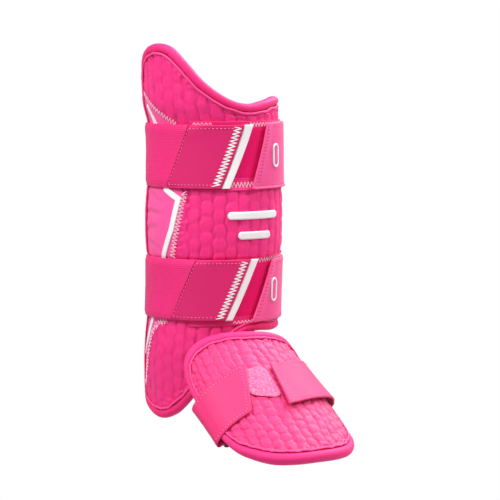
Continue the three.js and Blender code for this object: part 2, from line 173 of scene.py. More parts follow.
FOOT_SECTIONS = (
    FootSection(0, 61.5, 31.5),
    FootSection(80, 66, 35.5),
    FootSection(158, 66, 34),
)
FOOT_OUTLINE = edge_rows(
    (-78, -14, Corner.YES), (-62, -3), (-42, 0), (-20, 0), (0, 0), (20, 2), (42, 2), (62, -3),
    (78, -14, Corner.YES), (87, -33), (87, -56), (84, -78), (79, -99),
    (71, -118, Corner.YES), (58, -132.5), (40, -146.5), (20, -153.5), (0, -155), (-20, -153),
    (-40, -146), (-58, -132.5),
    (-71, -118, Corner.YES), (-79, -99), (-84, -78), (-87, -56), (-87, -33),
)


def smooth(low: float, high: float, at: Array) -> Array:
    """A smooth rise from 0 at low to 1 at high."""
    share = np.clip((np.asarray(at, float) - low) / (high - low), 0, 1)
    return share * share * (3 - 2 * share)


def blend(first: Array, second: Array, share: Array) -> Array:
    """The value between two others at a share of the way."""
    return first + (second - first) * share


def unit(vectors: Array) -> Array:
    """The same directions, each of length one."""
    return vectors / np.linalg.norm(vectors, axis=-1, keepdims=True)


def rightward(ahead: Array) -> Array:
    """Flat directions a quarter turn to the right of others."""
    return np.stack([ahead[..., 1], -ahead[..., 0]], -1)


def running_length(points: Array) -> Array:
    """The length along a line at each of its points."""
    return np.concatenate([[0], np.cumsum(np.linalg.norm(np.diff(points, axis=0), axis=1))])


def on_line(at: Array, along: Array, points: Array) -> Array:
    """Points at places along a line, whose own points stand at the lengths given as along."""
    return np.stack([np.interp(at, along, points[:, axis]) for axis in range(points.shape[1])], -1)


def curve_between(ends: tuple[Array, Array], slopes: tuple[Array, Array], share: Array) -> Array:
    """A smooth curve from one value to the next, with a slope at each, at shares of the way."""
    rise = (ends[1] - ends[0]) * (3 - 2 * share) * share**2
    return ends[0] + rise + slopes[0] * share * (1 - share) ** 2 - slopes[1] * share**2 * (1 - share)


def half_turns(turn: Array) -> Array:
    """The same turns, brought to between -180 and 180 degrees."""
    return (np.asarray(turn, float) + 180) % 360 - 180


def level(out: float) -> Callable[[Array], Array]:
    """A distance out that is the same at every turn."""
    return lambda turn: np.full(np.shape(turn), out)


def read_column(rows: Sequence[tuple], column: int, at: Array) -> Array:
    """Reads a column of a table between its rows, along a smooth curve through them.

    Args:
        rows: The table, sorted by its first column.
        column: Which column to read.
        at: Places in the first column's terms.

    Returns:
        One value for each place.
    """
    keys = np.array([row[0] for row in rows], float)
    values = np.array([row[column] for row in rows], float)
    last = len(rows) - 1
    near = np.clip(np.searchsorted(keys, at) - 1, 0, last - 1)
    before = np.maximum(near - 1, 0)
    after = np.minimum(near + 2, last)
    span = keys[near + 1] - keys[near]
    share = np.clip((at - keys[near]) / span, 0, 1)
    slope_near = (values[near + 1] - values[before]) / (keys[near + 1] - keys[before]) * span
    slope_far = (values[after] - values[near]) / (keys[after] - keys[near]) * span
    return curve_between((values[near], values[near + 1]), (slope_near, slope_far), share)


class Swell(NamedTuple):
    """A slow uneven pattern: its height, about how wide a swell is, and the seed of its own draws."""

    height: float
    size: float
    seed: int
    stretch: Spot = (1.0, 1.0)

    def at(self, x: Array, y: Array) -> Array:
        """How far the pattern stands up or down at pairs of lengths.

        Args:
            x: First lengths, in millimetres.
            y: Second lengths, in millimetres.

        Returns:
            Millimetres, about from minus the height to the height.
        """
        x, y = x * self.stretch[0], y * self.stretch[1]
        source = np.random.default_rng(self.seed)
        total = np.zeros(np.broadcast(x, y).shape)
        for _ in range(NOISE_WAVES):
            angle, phase = source.uniform(0, 2 * math.pi, 2)
            pitch = 2 * math.pi / (self.size * source.uniform(*NOISE_SIZES))
            total = total + np.sin(pitch * (x * math.cos(angle) + y * math.sin(angle)) + phase)
        return self.height * total / math.sqrt(NOISE_WAVES * 2)


class Surface(ABC):
    """An outer face that pieces lie on."""

    mm_per_degree: float

    @abstractmethod
    def point(self, turn: Array, height: Array, out: Array) -> Array:
        """Places on or above the face.

        Args:
            turn: Degrees round from the front.
            height: Millimetres up, or back from the toe.
            out: Millimetres out from the face.

        Returns:
            Points in millimetres, three numbers each.
        """

    @staticmethod
    def oval(turn: Array, half_width: Array, depth: Array) -> tuple[Array, Array, Array, Array]:
        """A point on an oval and its direction out.

        Args:
            turn: Degrees round from the front.
            half_width: Half the oval's width.
            depth: How far its front or back reaches.

        Returns:
            The point's side and front places, and the direction's side and front parts.
        """
        angle = np.radians(turn)
        side, front = -np.sin(angle), np.cos(angle)
        side_out, front_out = side / half_width, front / depth
        length = np.hypot(side_out, front_out)
        return side * half_width, front * depth, side_out / length, front_out / length


@dataclass
class ShinSurface(Surface):
    """The shin shell's outer face, which swells a little between the two calf straps."""

    mm_per_degree: float = 1.1
    swell: float = 2.4
    swell_reach: float = 32.0
    swell_power: float = 0.25
    tuck: float = 0.0
    tuck_start: float = 130.0
    tuck_end: float = 262.0

    def point(self, turn: Array, height: Array, out: Array) -> Array:
        """Places on or above the shell's face: see Surface.point."""
        turn, height, out = np.broadcast_arrays(np.asarray(turn, float), height, out)
        half_width = read_column(SHIN_SECTIONS, 1, height)
        shift_x = read_column(SHIN_SECTIONS, 4, height)
        front_depth = read_column(SHIN_SECTIONS, 2, height)
        back_depth = read_column(SHIN_SECTIONS, 3, height)
        depth = np.where(np.cos(np.radians(turn)) > 0, front_depth, back_depth)
        side, front, side_out, front_out = self.oval(turn, half_width, depth)
        lift = out + self.swell * np.clip(1 - (height / self.swell_reach) ** 2, 0, 1) ** self.swell_power
        middle = (self.tuck_start + self.tuck_end) / 2
        reach = (self.tuck_end - self.tuck_start) / 2
        lift = lift - self.tuck * smooth(0, 1, 1 - np.abs(turn - middle) / reach)
        x = shift_x + side + side_out * lift
        y = -(front + front_out * lift)
        return np.stack([x, y, height.astype(float)], -1)


@dataclass
class FootSurface(Surface):
    """The foot guard's arch over the instep, and the strap's sagging way under the foot."""

    mm_per_degree: float = 0.88
    origin: tuple[float, float, float] = (-24.5, -75.5, -94.5)
    yaw: float = -2.0
    length: float = 158.0
    slope_top: float = 38.0
    slope_toe: float = 41.0
    sag: float = 4.5

    def point(self, turn: Array, height: Array, out: Array) -> Array:
        """Places on or above the arch: see Surface.point."""
        turn, height, out = np.broadcast_arrays(np.asarray(turn, float), height, out)
        along = -np.asarray(height, float)
        top = math.radians(self.slope_top)
        bend = math.radians(self.slope_toe - self.slope_top) / self.length
        slope = top + bend * along
        forward = (np.sin(slope) - math.sin(top)) / bend
        down = (math.cos(top) - np.cos(slope)) / bend
        half_width = read_column(FOOT_SECTIONS, 1, along)
        arch = read_column(FOOT_SECTIONS, 2, along)
        depth = np.where(np.cos(np.radians(turn)) > 0, arch, self.sag)
        side, front, side_out, front_out = self.oval(turn, half_width, depth)
        x = side + side_out * out
        lift = front - arch + front_out * out
        y = -(forward + lift * np.sin(slope))
        z = -down + lift * np.cos(slope)
        yaw = math.radians(self.yaw)
        turned_x = x * math.cos(yaw) - y * math.sin(yaw)
        turned_y = x * math.sin(yaw) + y * math.cos(yaw)
        return np.stack([turned_x, turned_y, z], -1) + np.array(self.origin)


class Outline:
    """A pad's closed outline on its developed face, as a smooth curve through its rows."""

    STEPS = 40

    def __init__(self, rows: Sequence[EdgeRow], mm_per_degree: float) -> None:
        """Samples the curve and finds its corners.

        Args:
            rows: The outline's points in order.
            mm_per_degree: The developed width of one degree.
        """
        self.mm_per_degree = mm_per_degree
        points = np.array([(row.turn * mm_per_degree, row.height) for row in rows])
        share = np.linspace(0, 1, self.STEPS, endpoint=False)[None, :, None]
        before, near, far, after = (np.roll(points, by, 0)[:, None] for by in (1, 0, -1, -2))
        slopes = ((far - before) / 2, (after - near) / 2)
        curve = curve_between((near, far), slopes, share).reshape(-1, 2)
        self.curve = np.vstack([curve, curve[:1]])
        along = running_length(self.curve)
        self.length = float(along[-1])
        self.shares = along / self.length
        ahead = unit(np.roll(curve, -1, 0) - np.roll(curve, 1, 0))
        self.ahead = np.vstack([ahead, ahead[:1]])
        corners = [index for index, row in enumerate(rows) if row.corner is Corner.YES]
        self.corners = [float(self.shares[index * self.STEPS]) for index in corners]

    def at(self, share: Array, inset: Array) -> Array:
        """Places in from the outline.

        Args:
            share: Shares of the way round.
            inset: Millimetres in from the edge.

        Returns:
            Developed places, two numbers each.
        """
        around = np.asarray(share, float) % 1.0
        place = on_line(around, self.shares, self.curve)
        aside = rightward(on_line(around, self.shares, self.ahead))
        return place + aside * np.asarray(inset)[..., None]

    def inside(self, across: Array, up: Array, inset: float) -> tuple[Array, Array]:
        """Places inside the outline, spread evenly between its four edges.

        Args:
            across: Shares from the inner side to the outer side.
            up: Shares from low to high.
            inset: Millimetres that the edges stand in from the outline.

        Returns:
            The turns and the heights.
        """
        top_outer, top_inner, low_inner, low_outer = self.corners
        u, v = across[..., None], up[..., None]
        top = self.at(blend(top_inner, top_outer, across), inset)
        low = self.at(blend(low_inner, low_outer, across), inset)
        inner = self.at(blend(low_inner, top_inner, up), inset)
        outer = self.at(blend(low_outer, top_outer + 1, up), inset)
        low_line = blend(self.at(low_inner, inset), self.at(low_outer, inset), u)
        top_line = blend(self.at(top_inner, inset), self.at(top_outer, inset), u)
        place = blend(low, top, v) + blend(inner, outer, u) - blend(low_line, top_line, v)
        return place[..., 0] / self.mm_per_degree, place[..., 1]


@dataclass(frozen=True)
class Quilt:
    """Tall six-sided foam cells in columns, pressed into the pads."""

    depth: float
    power: float
    cross_depth: float
    variety: float
    groove: float
    line_cross: float
    column: float
    period: float
    slant: float
    side_start: float = 0.5
    side_full: float = 0.85
    puff: float = 0.6
    puff_periods: float = 1.1
    puff_seed: int = 19

    def side_scale(self) -> float:
        """Turns a length across a cell into one up it, so that all six edges are half a period away."""
        return self.period / 2 / (self.column / 2 + self.slant * self.period / 4)

    def drop(self, x: Array, y: Array) -> Array:
        """How far below its crown the face lies: none on a cell's middle, all of the depth on its sides.

        Args:
            x: Developed lengths across, in millimetres.
            y: Developed lengths up, in millimetres.

        Returns:
            Millimetres below the crowns.
        """
        found = []
        for shift in (0.0, 0.5):
            dx = np.abs((x / self.column / 2 + shift + 0.5) % 1.0 - 0.5) * 2 * self.column
            dy = np.abs((y / self.period + shift + 0.5) % 1.0 - 0.5) * self.period
            found.append(np.maximum(dy, (dx + self.slant * dy) * self.side_scale()))
        share = np.clip(np.minimum(*found) / (self.period / 2), 0, 1)
        aside = np.abs((x / self.column + 0.5) % 1.0 - 0.5) * 2
        cross = blend(self.cross_depth, 1.0, smooth(self.side_start, self.side_full, aside))
        noise = Swell(self.puff, self.puff_periods * self.period, self.puff_seed)
        puff = np.clip(0.5 + noise.at(x, y), 0, 1)
        return self.depth * blend(1.0, 1 - self.variety, puff) * cross * share**self.power


SHIN_QUILT = Quilt(
    depth=2.0,
    power=3.4,
    cross_depth=0.3,
    variety=0.5,
    groove=1.1,
    line_cross=0.25,
    column=11.7,
    period=13.2,
    slant=0.3,
)
FOOT_QUILT = Quilt(
    depth=1.9,
    power=1.9,
    cross_depth=0.58,
    variety=0.4,
    groove=0.75,
    line_cross=0.2,
    column=8.3,
    period=9.7,
    slant=0.42,
)


@dataclass(frozen=True)
class Colour:
    """A colour by its red, green and blue shares of light."""

    red: float
    green: float
    blue: float

    @classmethod
    def from_screen(cls, red: int, green: int, blue: int) -> "Colour":
        """The light shares of a colour given as it looks on a screen, from 0 to 255."""
        shares = (value / SCREEN_WHITE for value in (red, green, blue))
        return cls(*(((share + SCREEN_OFFSET) / (1 + SCREEN_OFFSET)) ** SCREEN_POWER for share in shares))

    def scaled(self, by: float) -> "Colour":
        """The same colour, lighter or darker."""
        return Colour(self.red * by, self.green * by, self.blue * by)

    def deep(self) -> "Colour":
        """The same colour darker and fuller, as painted shade where it lies in a fold."""
        red, green, blue = FOLD_SHADE
        return Colour(self.red * red, self.green * green, self.blue * blue)

    def rgba(self) -> tuple[float, float, float, float]:
        """The colour as Blender's sockets take it."""
        return self.red, self.green, self.blue, 1.0


PINK = Colour.from_screen(246, 40, 130)
FOOT_PINK = Colour.from_screen(238, 43, 121)
PANEL_PINK = Colour.from_screen(250, 84, 158)
EDGE_PINK = Colour.from_screen(243, 42, 120)
# The binding's pink made paler on the foot as painted light, for the binding that faces up to the lamps.
LIT_FOOT_EDGE_PINK = Colour.from_screen(246, 54, 130)
ELASTIC_PINK = Colour.from_screen(240, 36, 122)
STRAP_PINK = Colour.from_screen(214, 24, 105)
TAB_PINK = Colour.from_screen(234, 42, 117)
# A paler tab pink for the side tabs: partly their own colour, partly painted light from the right.
LIT_SIDE_TAB_PINK = Colour.from_screen(248, 76, 148)
LOOP_PINK = Colour.from_screen(233, 32, 106)
PALE_LOOP_PINK = Colour.from_screen(244, 84, 144)
PALE_TIPS = Colour.from_screen(255, 168, 200)
PIPING_PINK = Colour.from_screen(248, 66, 144)
# The lining's pink darkened as painted shade, for inner faces and tab undersides that lie in shadow.
SHADED_LINING_PINK = Colour.from_screen(176, 20, 80)
# A deep pink painted as shade: beside the piping and in the dents between stitches.
SEAM_SHADE_PINK = Colour.from_screen(206, 16, 88)
BLACK = Colour.from_screen(30, 28, 30)
THREAD_PINK = Colour.from_screen(252, 142, 188)
WHITE = Colour.from_screen(240, 238, 239)
PALEST_PINK = Colour.from_screen(255, 214, 232)


class Nodes:
    """Short calls for laying out a node tree."""

    def __init__(self, tree: Tree) -> None:
        """Empties the tree that is to be filled."""
        self.tree = tree
        tree.nodes.clear()

    def add(self, kind: str, links: dict[str, object] | None = None, **settings: object) -> bpy.types.Node:
        """Adds a node.

        Args:
            kind: The node's type, without its ShaderNode prefix.
            links: What each named or numbered input takes: a socket to link, or a value to set.
            settings: Properties of the node.

        Returns:
            The node.
        """
        prefix = "" if kind.startswith("NodeGroup") else "ShaderNode"
        node = self.tree.nodes.new(prefix + kind)
        for name, value in settings.items():
            setattr(node, name, value)
        for key, value in (links or {}).items():
            self.feed(node, key, value)
        return node

    def feed(self, node: bpy.types.Node, key: str | int, value: object) -> None:
        """Links a socket to an input, or sets the input's value."""
        socket = node.inputs[key]
        if isinstance(value, Socket):
            self.tree.links.new(value, socket)
        else:
            socket.default_value = value

    def maths(self, operation: str, *values: object) -> Socket:
        """A maths node's result for values or sockets."""
        return self.add("Math", dict(enumerate(values)), operation=operation).outputs[0]

    def vector_maths(self, operation: str, *values: object) -> Socket:
        """A vector maths node's result for vectors or sockets."""
        return self.add("VectorMath", dict(enumerate(values)), operation=operation).outputs[0]

    def ramp(self, value: object, low: float, high: float) -> Socket:
        """A smooth rise from 0 at low to 1 at high."""
        links = {"Value": value, "From Min": low, "From Max": high}
        return self.add("MapRange", links, interpolation_type="SMOOTHSTEP").outputs["Result"]

    def mixed(self, share: object, first: object, second: object) -> Socket:
        """One colour turning into another."""
        node = self.add("Mix", data_type="RGBA")
        colours = [socket for socket in node.inputs if socket.type == "RGBA"]
        self.feed(node, "Factor", share)
        for socket, value in zip(colours, (first, second)):
            if isinstance(value, Socket):
                self.tree.links.new(value, socket)
            else:
                socket.default_value = value
        return next(socket for socket in node.outputs if socket.type == "RGBA")


class Effect(Enum):
    """Shader node groups that several finishes share."""

    SHIN_QUILT = "shin_grooves"
    FOOT_QUILT = "foot_grooves"
    KNIT = "knit_cloth"
    RIBS = "woven_ribs"
    MOTTLE = "cloth_mottle"


class EffectShelf:
    """Builds each shared node group once, and keeps the finishes made with them."""

    SIDE_SHARES = (0.25, 0.42)
    KNIT_PITCH = 1.1
    RIB_PITCH = 1.7
    STEPS_PER_RIB = 1.9
    STEP_SWAY = 1.4
    STEP_HEIGHT = 0.35
    MOTTLE_SCALE = 40.0
    MOTTLE_RANGE = (0.3, 0.7)

    def __init__(self) -> None:
        """Makes every group."""
        self.finishes: dict[str, bpy.types.Material] = {}
        self.groups: dict[Effect, Tree] = {}
        for effect, build in (
            (Effect.SHIN_QUILT, partial(self.build_quilt, SHIN_QUILT)),
            (Effect.FOOT_QUILT, partial(self.build_quilt, FOOT_QUILT)),
            (Effect.KNIT, self.build_knit),
            (Effect.RIBS, self.build_ribs),
            (Effect.MOTTLE, self.build_mottle),
        ):
            self.groups[effect] = build(effect.value)

    @staticmethod
    def start(name: str, inputs: dict[str, float | None], output: str) -> tuple[Nodes, bpy.types.Node]:
        """Starts a group with a Place input, others with a starting value, and one output.

        Args:
            name: The group's name.
            inputs: Names and starting values of the inputs past Place.
            output: The output's name.

        Returns:
            The node layout and the group's input node.
        """
        tree = bpy.data.node_groups.new(name, "ShaderNodeTree")
        tree.interface.new_socket("Place", in_out="INPUT", socket_type="NodeSocketVector")
        for label, value in inputs.items():
            socket = tree.interface.new_socket(label, in_out="INPUT", socket_type="NodeSocketFloat")
            socket.default_value = value
        tree.interface.new_socket(output, in_out="OUTPUT", socket_type="NodeSocketFloat")
        nodes = Nodes(tree)
        return nodes, nodes.add("NodeGroupInput")

    @staticmethod
    def end(nodes: Nodes, output: str, value: Socket) -> Tree:
        """Links a group's one output."""
        nodes.add("NodeGroupOutput", {output: value})
        return nodes.tree

    def build_quilt(self, quilt: Quilt, name: str) -> Tree:
        """Lines along the cells' edges, from places given in millimetres."""
        nodes, given = self.start(name, {"Width": 1.6, "Cross": 0.5}, "Groove")
        half = (quilt.column, quilt.period / 2, 1.0)
        low = tuple(-value for value in half)
        spread = []
        for shift in ((0.0, 0.0, 0.0), (half[0], half[1], 0.0)):
            moved = nodes.vector_maths("ADD", given.outputs["Place"], shift)
            size = nodes.vector_maths("ABSOLUTE", nodes.vector_maths("WRAP", moved, half, low))
            parts = nodes.add("SeparateXYZ", {0: size}).outputs
            tilted = nodes.maths("MULTIPLY_ADD", parts[1], quilt.slant, parts[0])
            sides = nodes.maths("MULTIPLY", tilted, quilt.side_scale())
            spread.append(nodes.maths("MAXIMUM", parts[1], sides))
        edge = nodes.maths("SUBTRACT", quilt.period / 2, nodes.maths("MINIMUM", *spread))
        line = nodes.ramp(nodes.maths("DIVIDE", edge, given.outputs["Width"]), 1.0, 0.0)
        across = nodes.add("SeparateXYZ", {0: given.outputs["Place"]}).outputs[0]
        aside = nodes.maths("ABSOLUTE", nodes.maths("WRAP", across, quilt.column / 2, -quilt.column / 2))
        sides = nodes.ramp(aside, *(share * quilt.column for share in self.SIDE_SHARES))
        plain = nodes.maths("SUBTRACT", 1.0, given.outputs["Cross"])
        weight = nodes.maths("MULTIPLY_ADD", sides, plain, given.outputs["Cross"])
        return self.end(nodes, "Groove", nodes.maths("MULTIPLY", line, weight))

    def turned(self, name: str, pitch: float) -> tuple[Nodes, bpy.types.bpy_prop_collection]:
        """Starts a group whose place is counted in turns of a wave.

        Args:
            name: The group's name.
            pitch: The wave's starting pitch.

        Returns:
            The node layout, and the place's angles across and up.
        """
        nodes, given = self.start(name, {"Pitch": pitch}, "Height")
        turns = nodes.maths("DIVIDE", 2 * math.pi, given.outputs["Pitch"])
        scaled = nodes.vector_maths("SCALE", given.outputs["Place"])
        nodes.feed(scaled.node, "Scale", turns)
        return nodes, nodes.add("SeparateXYZ", {0: scaled}).outputs

    def build_knit(self, name: str) -> Tree:
        """Fine knitted rows and columns."""
        nodes, angles = self.turned(name, self.KNIT_PITCH)
        waves = [nodes.maths("SINE", angle) for angle in (angles[0], angles[1])]
        return self.end(nodes, "Height", nodes.maths("MULTIPLY", *waves))

    def build_ribs(self, name: str) -> Tree:
        """Ribs along a strap, each made of small woven steps."""
        nodes, angles = self.turned(name, self.RIB_PITCH)
        rib = nodes.maths("SINE", angles[1])
        sway = nodes.maths("MULTIPLY", rib, self.STEP_SWAY)
        step = nodes.maths("SINE", nodes.maths("MULTIPLY_ADD", angles[0], self.STEPS_PER_RIB, sway))
        return self.end(nodes, "Height", nodes.maths("MULTIPLY_ADD", step, self.STEP_HEIGHT, rib))

    def build_mottle(self, name: str) -> Tree:
        """Slow uneven patches of wear and dye."""
        nodes, given = self.start(name, {"Scale": self.MOTTLE_SCALE}, "Amount")
        links = {key: given.outputs[label] for key, label in (("Vector", "Place"), ("Scale", "Scale"))}
        noise = nodes.add("TexNoise", {**links, "Detail": 5.0, "Roughness": 0.6})
        return self.end(nodes, "Amount", nodes.ramp(noise.outputs["Fac"], *self.MOTTLE_RANGE))


class Bench(Nodes):
    """A material's layout: its shader, the places that patterns follow, and the shared effects."""

    def __init__(self, material: bpy.types.Material, shelf: EffectShelf) -> None:
        """Lays out a new material's shader and places."""
        super().__init__(material.node_tree)
        self.shelf = shelf
        self.shader = self.add("BsdfPrincipled")
        self.add("OutputMaterial", {"Surface": self.shader.outputs["BSDF"]})
        self.lengths = self.add("UVMap", uv_map=SheetMesh.UV).outputs["UV"]
        self.spot = self.add("TexCoord").outputs["Object"]

    def shared(self, effect: Effect, place: Socket, **inputs: object) -> Socket:
        """Places a shared effect and gives its output."""
        links = {"Place": place, **inputs}
        return self.add("Group", links, node_tree=self.shelf.groups[effect]).outputs[0]

    def knit(self, pitch: float) -> Socket:
        """Knitted rows and columns along the piece's own lengths."""
        return self.shared(Effect.KNIT, self.lengths, Pitch=pitch)

    def coat(self, colour: object, roughness: object) -> None:
        """Feeds the shader's colour and roughness."""
        self.feed(self.shader, "Base Color", colour)
        self.feed(self.shader, "Roughness", roughness)


@dataclass(frozen=True)
class Finish(ABC):
    """A surface finish: one Blender material."""

    name: str
    colour: Colour
    roughness: float = 0.7
    sheen: float = 0.25
    mottle: float = 0.12
    bump: float = 0.25
    shine: float = 0.35

    def material(self, shelf: EffectShelf) -> bpy.types.Material:
        """Makes the finish, or finds it if it was made before.

        Args:
            shelf: The shared effects.

        Returns:
            The material.
        """
        if self.name in shelf.finishes:
            return shelf.finishes[self.name]
        made = bpy.data.materials.new(self.name)
        shelf.finishes[self.name] = made
        made.use_nodes = True
        bench = Bench(made, shelf)
        bench.shader.inputs["Sheen Weight"].default_value = self.sheen
        bench.shader.inputs["Sheen Roughness"].default_value = SHEEN_ROUGHNESS
        bench.shader.inputs["Sheen Tint"].default_value = PALEST_PINK.rgba()
        bench.shader.inputs["Specular IOR Level"].default_value = self.shine
        self.dress(bench)
        return made

    def dyed(self, bench: Bench, scale: float = 30.0) -> Socket:
        """The finish's colour with slow uneven patches."""
        patches = bench.shared(Effect.MOTTLE, bench.spot, Scale=scale)
        share = bench.maths("MULTIPLY", patches, self.mottle)
        return bench.mixed(share, self.colour.rgba(), self.colour.scaled(PATCH_DYE).rgba())

    def raise_by(self, bench: Bench, height: object, distance: float) -> None:
        """Adds a bump of a height in millimetres to the shader."""
        links = {"Height": height, "Strength": self.bump, "Distance": distance * MM}
        bench.feed(bench.shader, "Normal", bench.add("Bump", links).outputs["Normal"])

    @abstractmethod
    def dress(self, bench: Bench) -> None:
        """Feeds the shader of a material's layout."""


@dataclass(frozen=True)
class QuiltCloth(Finish):
    """Matt knit over hexagonal foam cells, with painted shade darkening the grooves."""

    quilt: Quilt = SHIN_QUILT
    lines: Effect = Effect.SHIN_QUILT
    shade: float = 0.37
    even_shade: float = 0.3
    shade_patches: float = 75.0
    pitch: float = 1.0
    groove_roughness: float = 0.15
    groove_height: float = -1.6
    knit_height: float = 0.3
    relief: float = 0.4

    def dress(self, bench: Bench) -> None:
        """Feeds the shader: see Finish.dress."""
        sizes = {"Width": self.quilt.groove, "Cross": self.quilt.line_cross}
        groove = bench.shared(self.lines, bench.lengths, **sizes)
        patches = bench.shared(Effect.MOTTLE, bench.spot, Scale=self.shade_patches)
        even = self.even_shade * self.shade
        uneven = bench.maths("MULTIPLY_ADD", patches, self.shade - even, even)
        # Painted shade: the groove lines, uneven in patches, darken the colour towards its fold shade.
        dark = bench.maths("MULTIPLY", groove, uneven)
        colour = bench.mixed(dark, self.dyed(bench), self.colour.deep().rgba())
        bench.coat(colour, bench.maths("MULTIPLY_ADD", groove, self.groove_roughness, self.roughness))
        knit = bench.maths("MULTIPLY", bench.knit(self.pitch), self.knit_height)
        self.raise_by(bench, bench.maths("MULTIPLY_ADD", groove, self.groove_height, knit), self.relief)


@dataclass(frozen=True)
class KnitCloth(Finish):
    """Smooth stretch knit, as on the side panel, the binding and the lining."""

    pitch: float = 0.9
    grain: float = 30.0
    knit_roughness: float = 0.05
    relief: float = 0.12

    def dress(self, bench: Bench) -> None:
        """Feeds the shader: see Finish.dress."""
        knit = bench.knit(self.pitch)
        rough = bench.maths("MULTIPLY_ADD", knit, self.knit_roughness, self.roughness)
        bench.coat(self.dyed(bench, self.grain), rough)
        self.raise_by(bench, knit, self.relief)


@dataclass(frozen=True)
class RibbedElastic(Finish):
    """Woven elastic with ribs along its length, with painted shade in the valleys between them."""

    pitch: float = 1.7
    valley: float = -1.2
    crest: float = 0.6
    valley_shade: float = 0.22
    valley_shade_scale: float = 0.5
    rib_roughness: float = 0.05
    relief: float = 0.25

    def dress(self, bench: Bench) -> None:
        """Feeds the shader: see Finish.dress."""
        ribs = bench.shared(Effect.RIBS, bench.lengths, Pitch=self.pitch)
        # Painted shade: the colour darkens in the valleys between the ribs.
        low = bench.maths("SUBTRACT", 1.0, bench.ramp(ribs, self.valley, self.crest))
        dark = bench.maths("MULTIPLY", low, self.valley_shade)
        colour = bench.mixed(dark, self.dyed(bench), self.colour.scaled(self.valley_shade_scale).rgba())
        bench.coat(colour, bench.maths("MULTIPLY_ADD", ribs, self.rib_roughness, self.roughness))
        self.raise_by(bench, ribs, self.relief)


@dataclass(frozen=True)
class BrushedLoop(Finish):
    """Soft loop fastener: a dense pile of tiny curled fibres."""

    fibre: float = 900.0
    tips: Colour = LOOP_PINK
    tip_range: tuple[float, float] = (0.42, 0.72)
    patches: float = 120.0
    pitch: float = 2.2
    knit_height: float = 0.25
    pile_roughness: float = 0.1
    relief: float = 0.7

    def dress(self, bench: Bench) -> None:
        """Feeds the shader: see Finish.dress."""
        curl = {"Detail": 4.0, "Roughness": 0.7, "Distortion": 1.5}
        pile = bench.add("TexNoise", {"Vector": bench.spot, "Scale": self.fibre, **curl}).outputs["Fac"]
        light = bench.ramp(pile, *self.tip_range)
        colour = bench.mixed(light, self.dyed(bench, self.patches), self.tips.rgba())
        bench.coat(colour, bench.maths("MULTIPLY_ADD", pile, self.pile_roughness, self.roughness))
        height = bench.maths("MULTIPLY_ADD", bench.knit(self.pitch), self.knit_height, pile)
        self.raise_by(bench, height, self.relief)


@dataclass(frozen=True)
class SatinTape(Finish):
    """Smooth bonded tape or moulded badge with a faint grain."""

    grain: float = 1400.0
    patches: float = 60.0
    pitch: float = 0.8
    weave_height: float = 0.3
    grain_roughness: float = 0.2
    relief: float = 0.1

    def dress(self, bench: Bench) -> None:
        """Feeds the shader: see Finish.dress."""
        links = {"Vector": bench.spot, "Scale": self.grain, "Detail": 2.0}
        grain = bench.add("TexNoise", links).outputs["Fac"]
        rough = bench.maths("MULTIPLY_ADD", grain, self.grain_roughness, self.roughness)
        bench.coat(self.dyed(bench, self.patches), rough)
        height = bench.maths("MULTIPLY_ADD", bench.knit(self.pitch), self.weave_height, grain)
        self.raise_by(bench, height, self.relief)


@dataclass(frozen=True)
class TwistedThread(Finish):
    """Sewing thread with a faint twist."""

    twist: float = 2600.0
    twist_shade: float = 0.18
    twist_dye: float = 0.7
    twist_roughness: float = 0.1
    relief: float = 0.1

    def dress(self, bench: Bench) -> None:
        """Feeds the shader: see Finish.dress."""
        links = {"Vector": bench.spot, "Scale": self.twist, "Distortion": 2.0}
        strands = bench.add("TexWave", links).outputs["Fac"]
        dark = bench.maths("MULTIPLY", strands, self.twist_shade)
        colour = bench.mixed(dark, self.dyed(bench), self.colour.scaled(self.twist_dye).rgba())
        bench.coat(colour, bench.maths("MULTIPLY_ADD", strands, self.twist_roughness, self.roughness))
        self.raise_by(bench, strands, self.relief)


QUILT_CLOTH = QuiltCloth("shin_quilted_cloth", PINK, roughness=0.5, sheen=0.15, bump=0.5)
FOOT_CLOTH = QuiltCloth(
    "foot_quilted_cloth",
    FOOT_PINK,
    roughness=0.5,
    sheen=0.7,
    bump=0.3,
    quilt=FOOT_QUILT,
    lines=Effect.FOOT_QUILT,
    shade=0.34,
)
PANEL_CLOTH = KnitCloth("side_panel_cloth", PANEL_PINK, roughness=0.5, sheen=0.15, mottle=0.06)
EDGE_CLOTH = KnitCloth(
    "rolled_edge_cloth", EDGE_PINK, roughness=0.5, sheen=0.1, shine=0.2, mottle=0.08, pitch=0.8
)
# A paler copy of the binding finish: painted light on the foot's upward-facing binding.
LIT_FOOT_EDGE_CLOTH = KnitCloth(
    "lit_foot_edge_cloth", LIT_FOOT_EDGE_PINK, roughness=0.5, sheen=0.1, shine=0.15, mottle=0.08, pitch=0.8
)
PIPING_CLOTH = KnitCloth("piping_cloth", PIPING_PINK, roughness=0.45, sheen=0.2, mottle=0.05, pitch=0.6)
SHADED_LINING_CLOTH = KnitCloth("shaded_lining_cloth", SHADED_LINING_PINK, roughness=0.8, sheen=0.05, pitch=1.4)
ELASTIC = RibbedElastic("strap_elastic", ELASTIC_PINK, roughness=0.6, sheen=0.1, bump=0.35)
TAB_CLOTH = KnitCloth("tab_cloth", STRAP_PINK, roughness=0.6, sheen=0.1, mottle=0.08, pitch=0.7)
PALE_TAB_CLOTH = KnitCloth(
    "pale_tab_cloth", TAB_PINK, roughness=0.55, sheen=0.15, mottle=0.25, pitch=0.7, grain=600.0
)
# Partly painted light: a paler copy of the tab cloth for the side tabs and their badges.
LIT_SIDE_TAB_CLOTH = KnitCloth(
    "lit_side_tab_cloth", LIT_SIDE_TAB_PINK, roughness=0.5, sheen=0.25, mottle=0.45, pitch=0.7, grain=600.0
)
LOOP_CLOTH = BrushedLoop("dark_loop_cloth", LOOP_PINK, roughness=0.9, sheen=0.0, bump=0.6, shine=0.0)
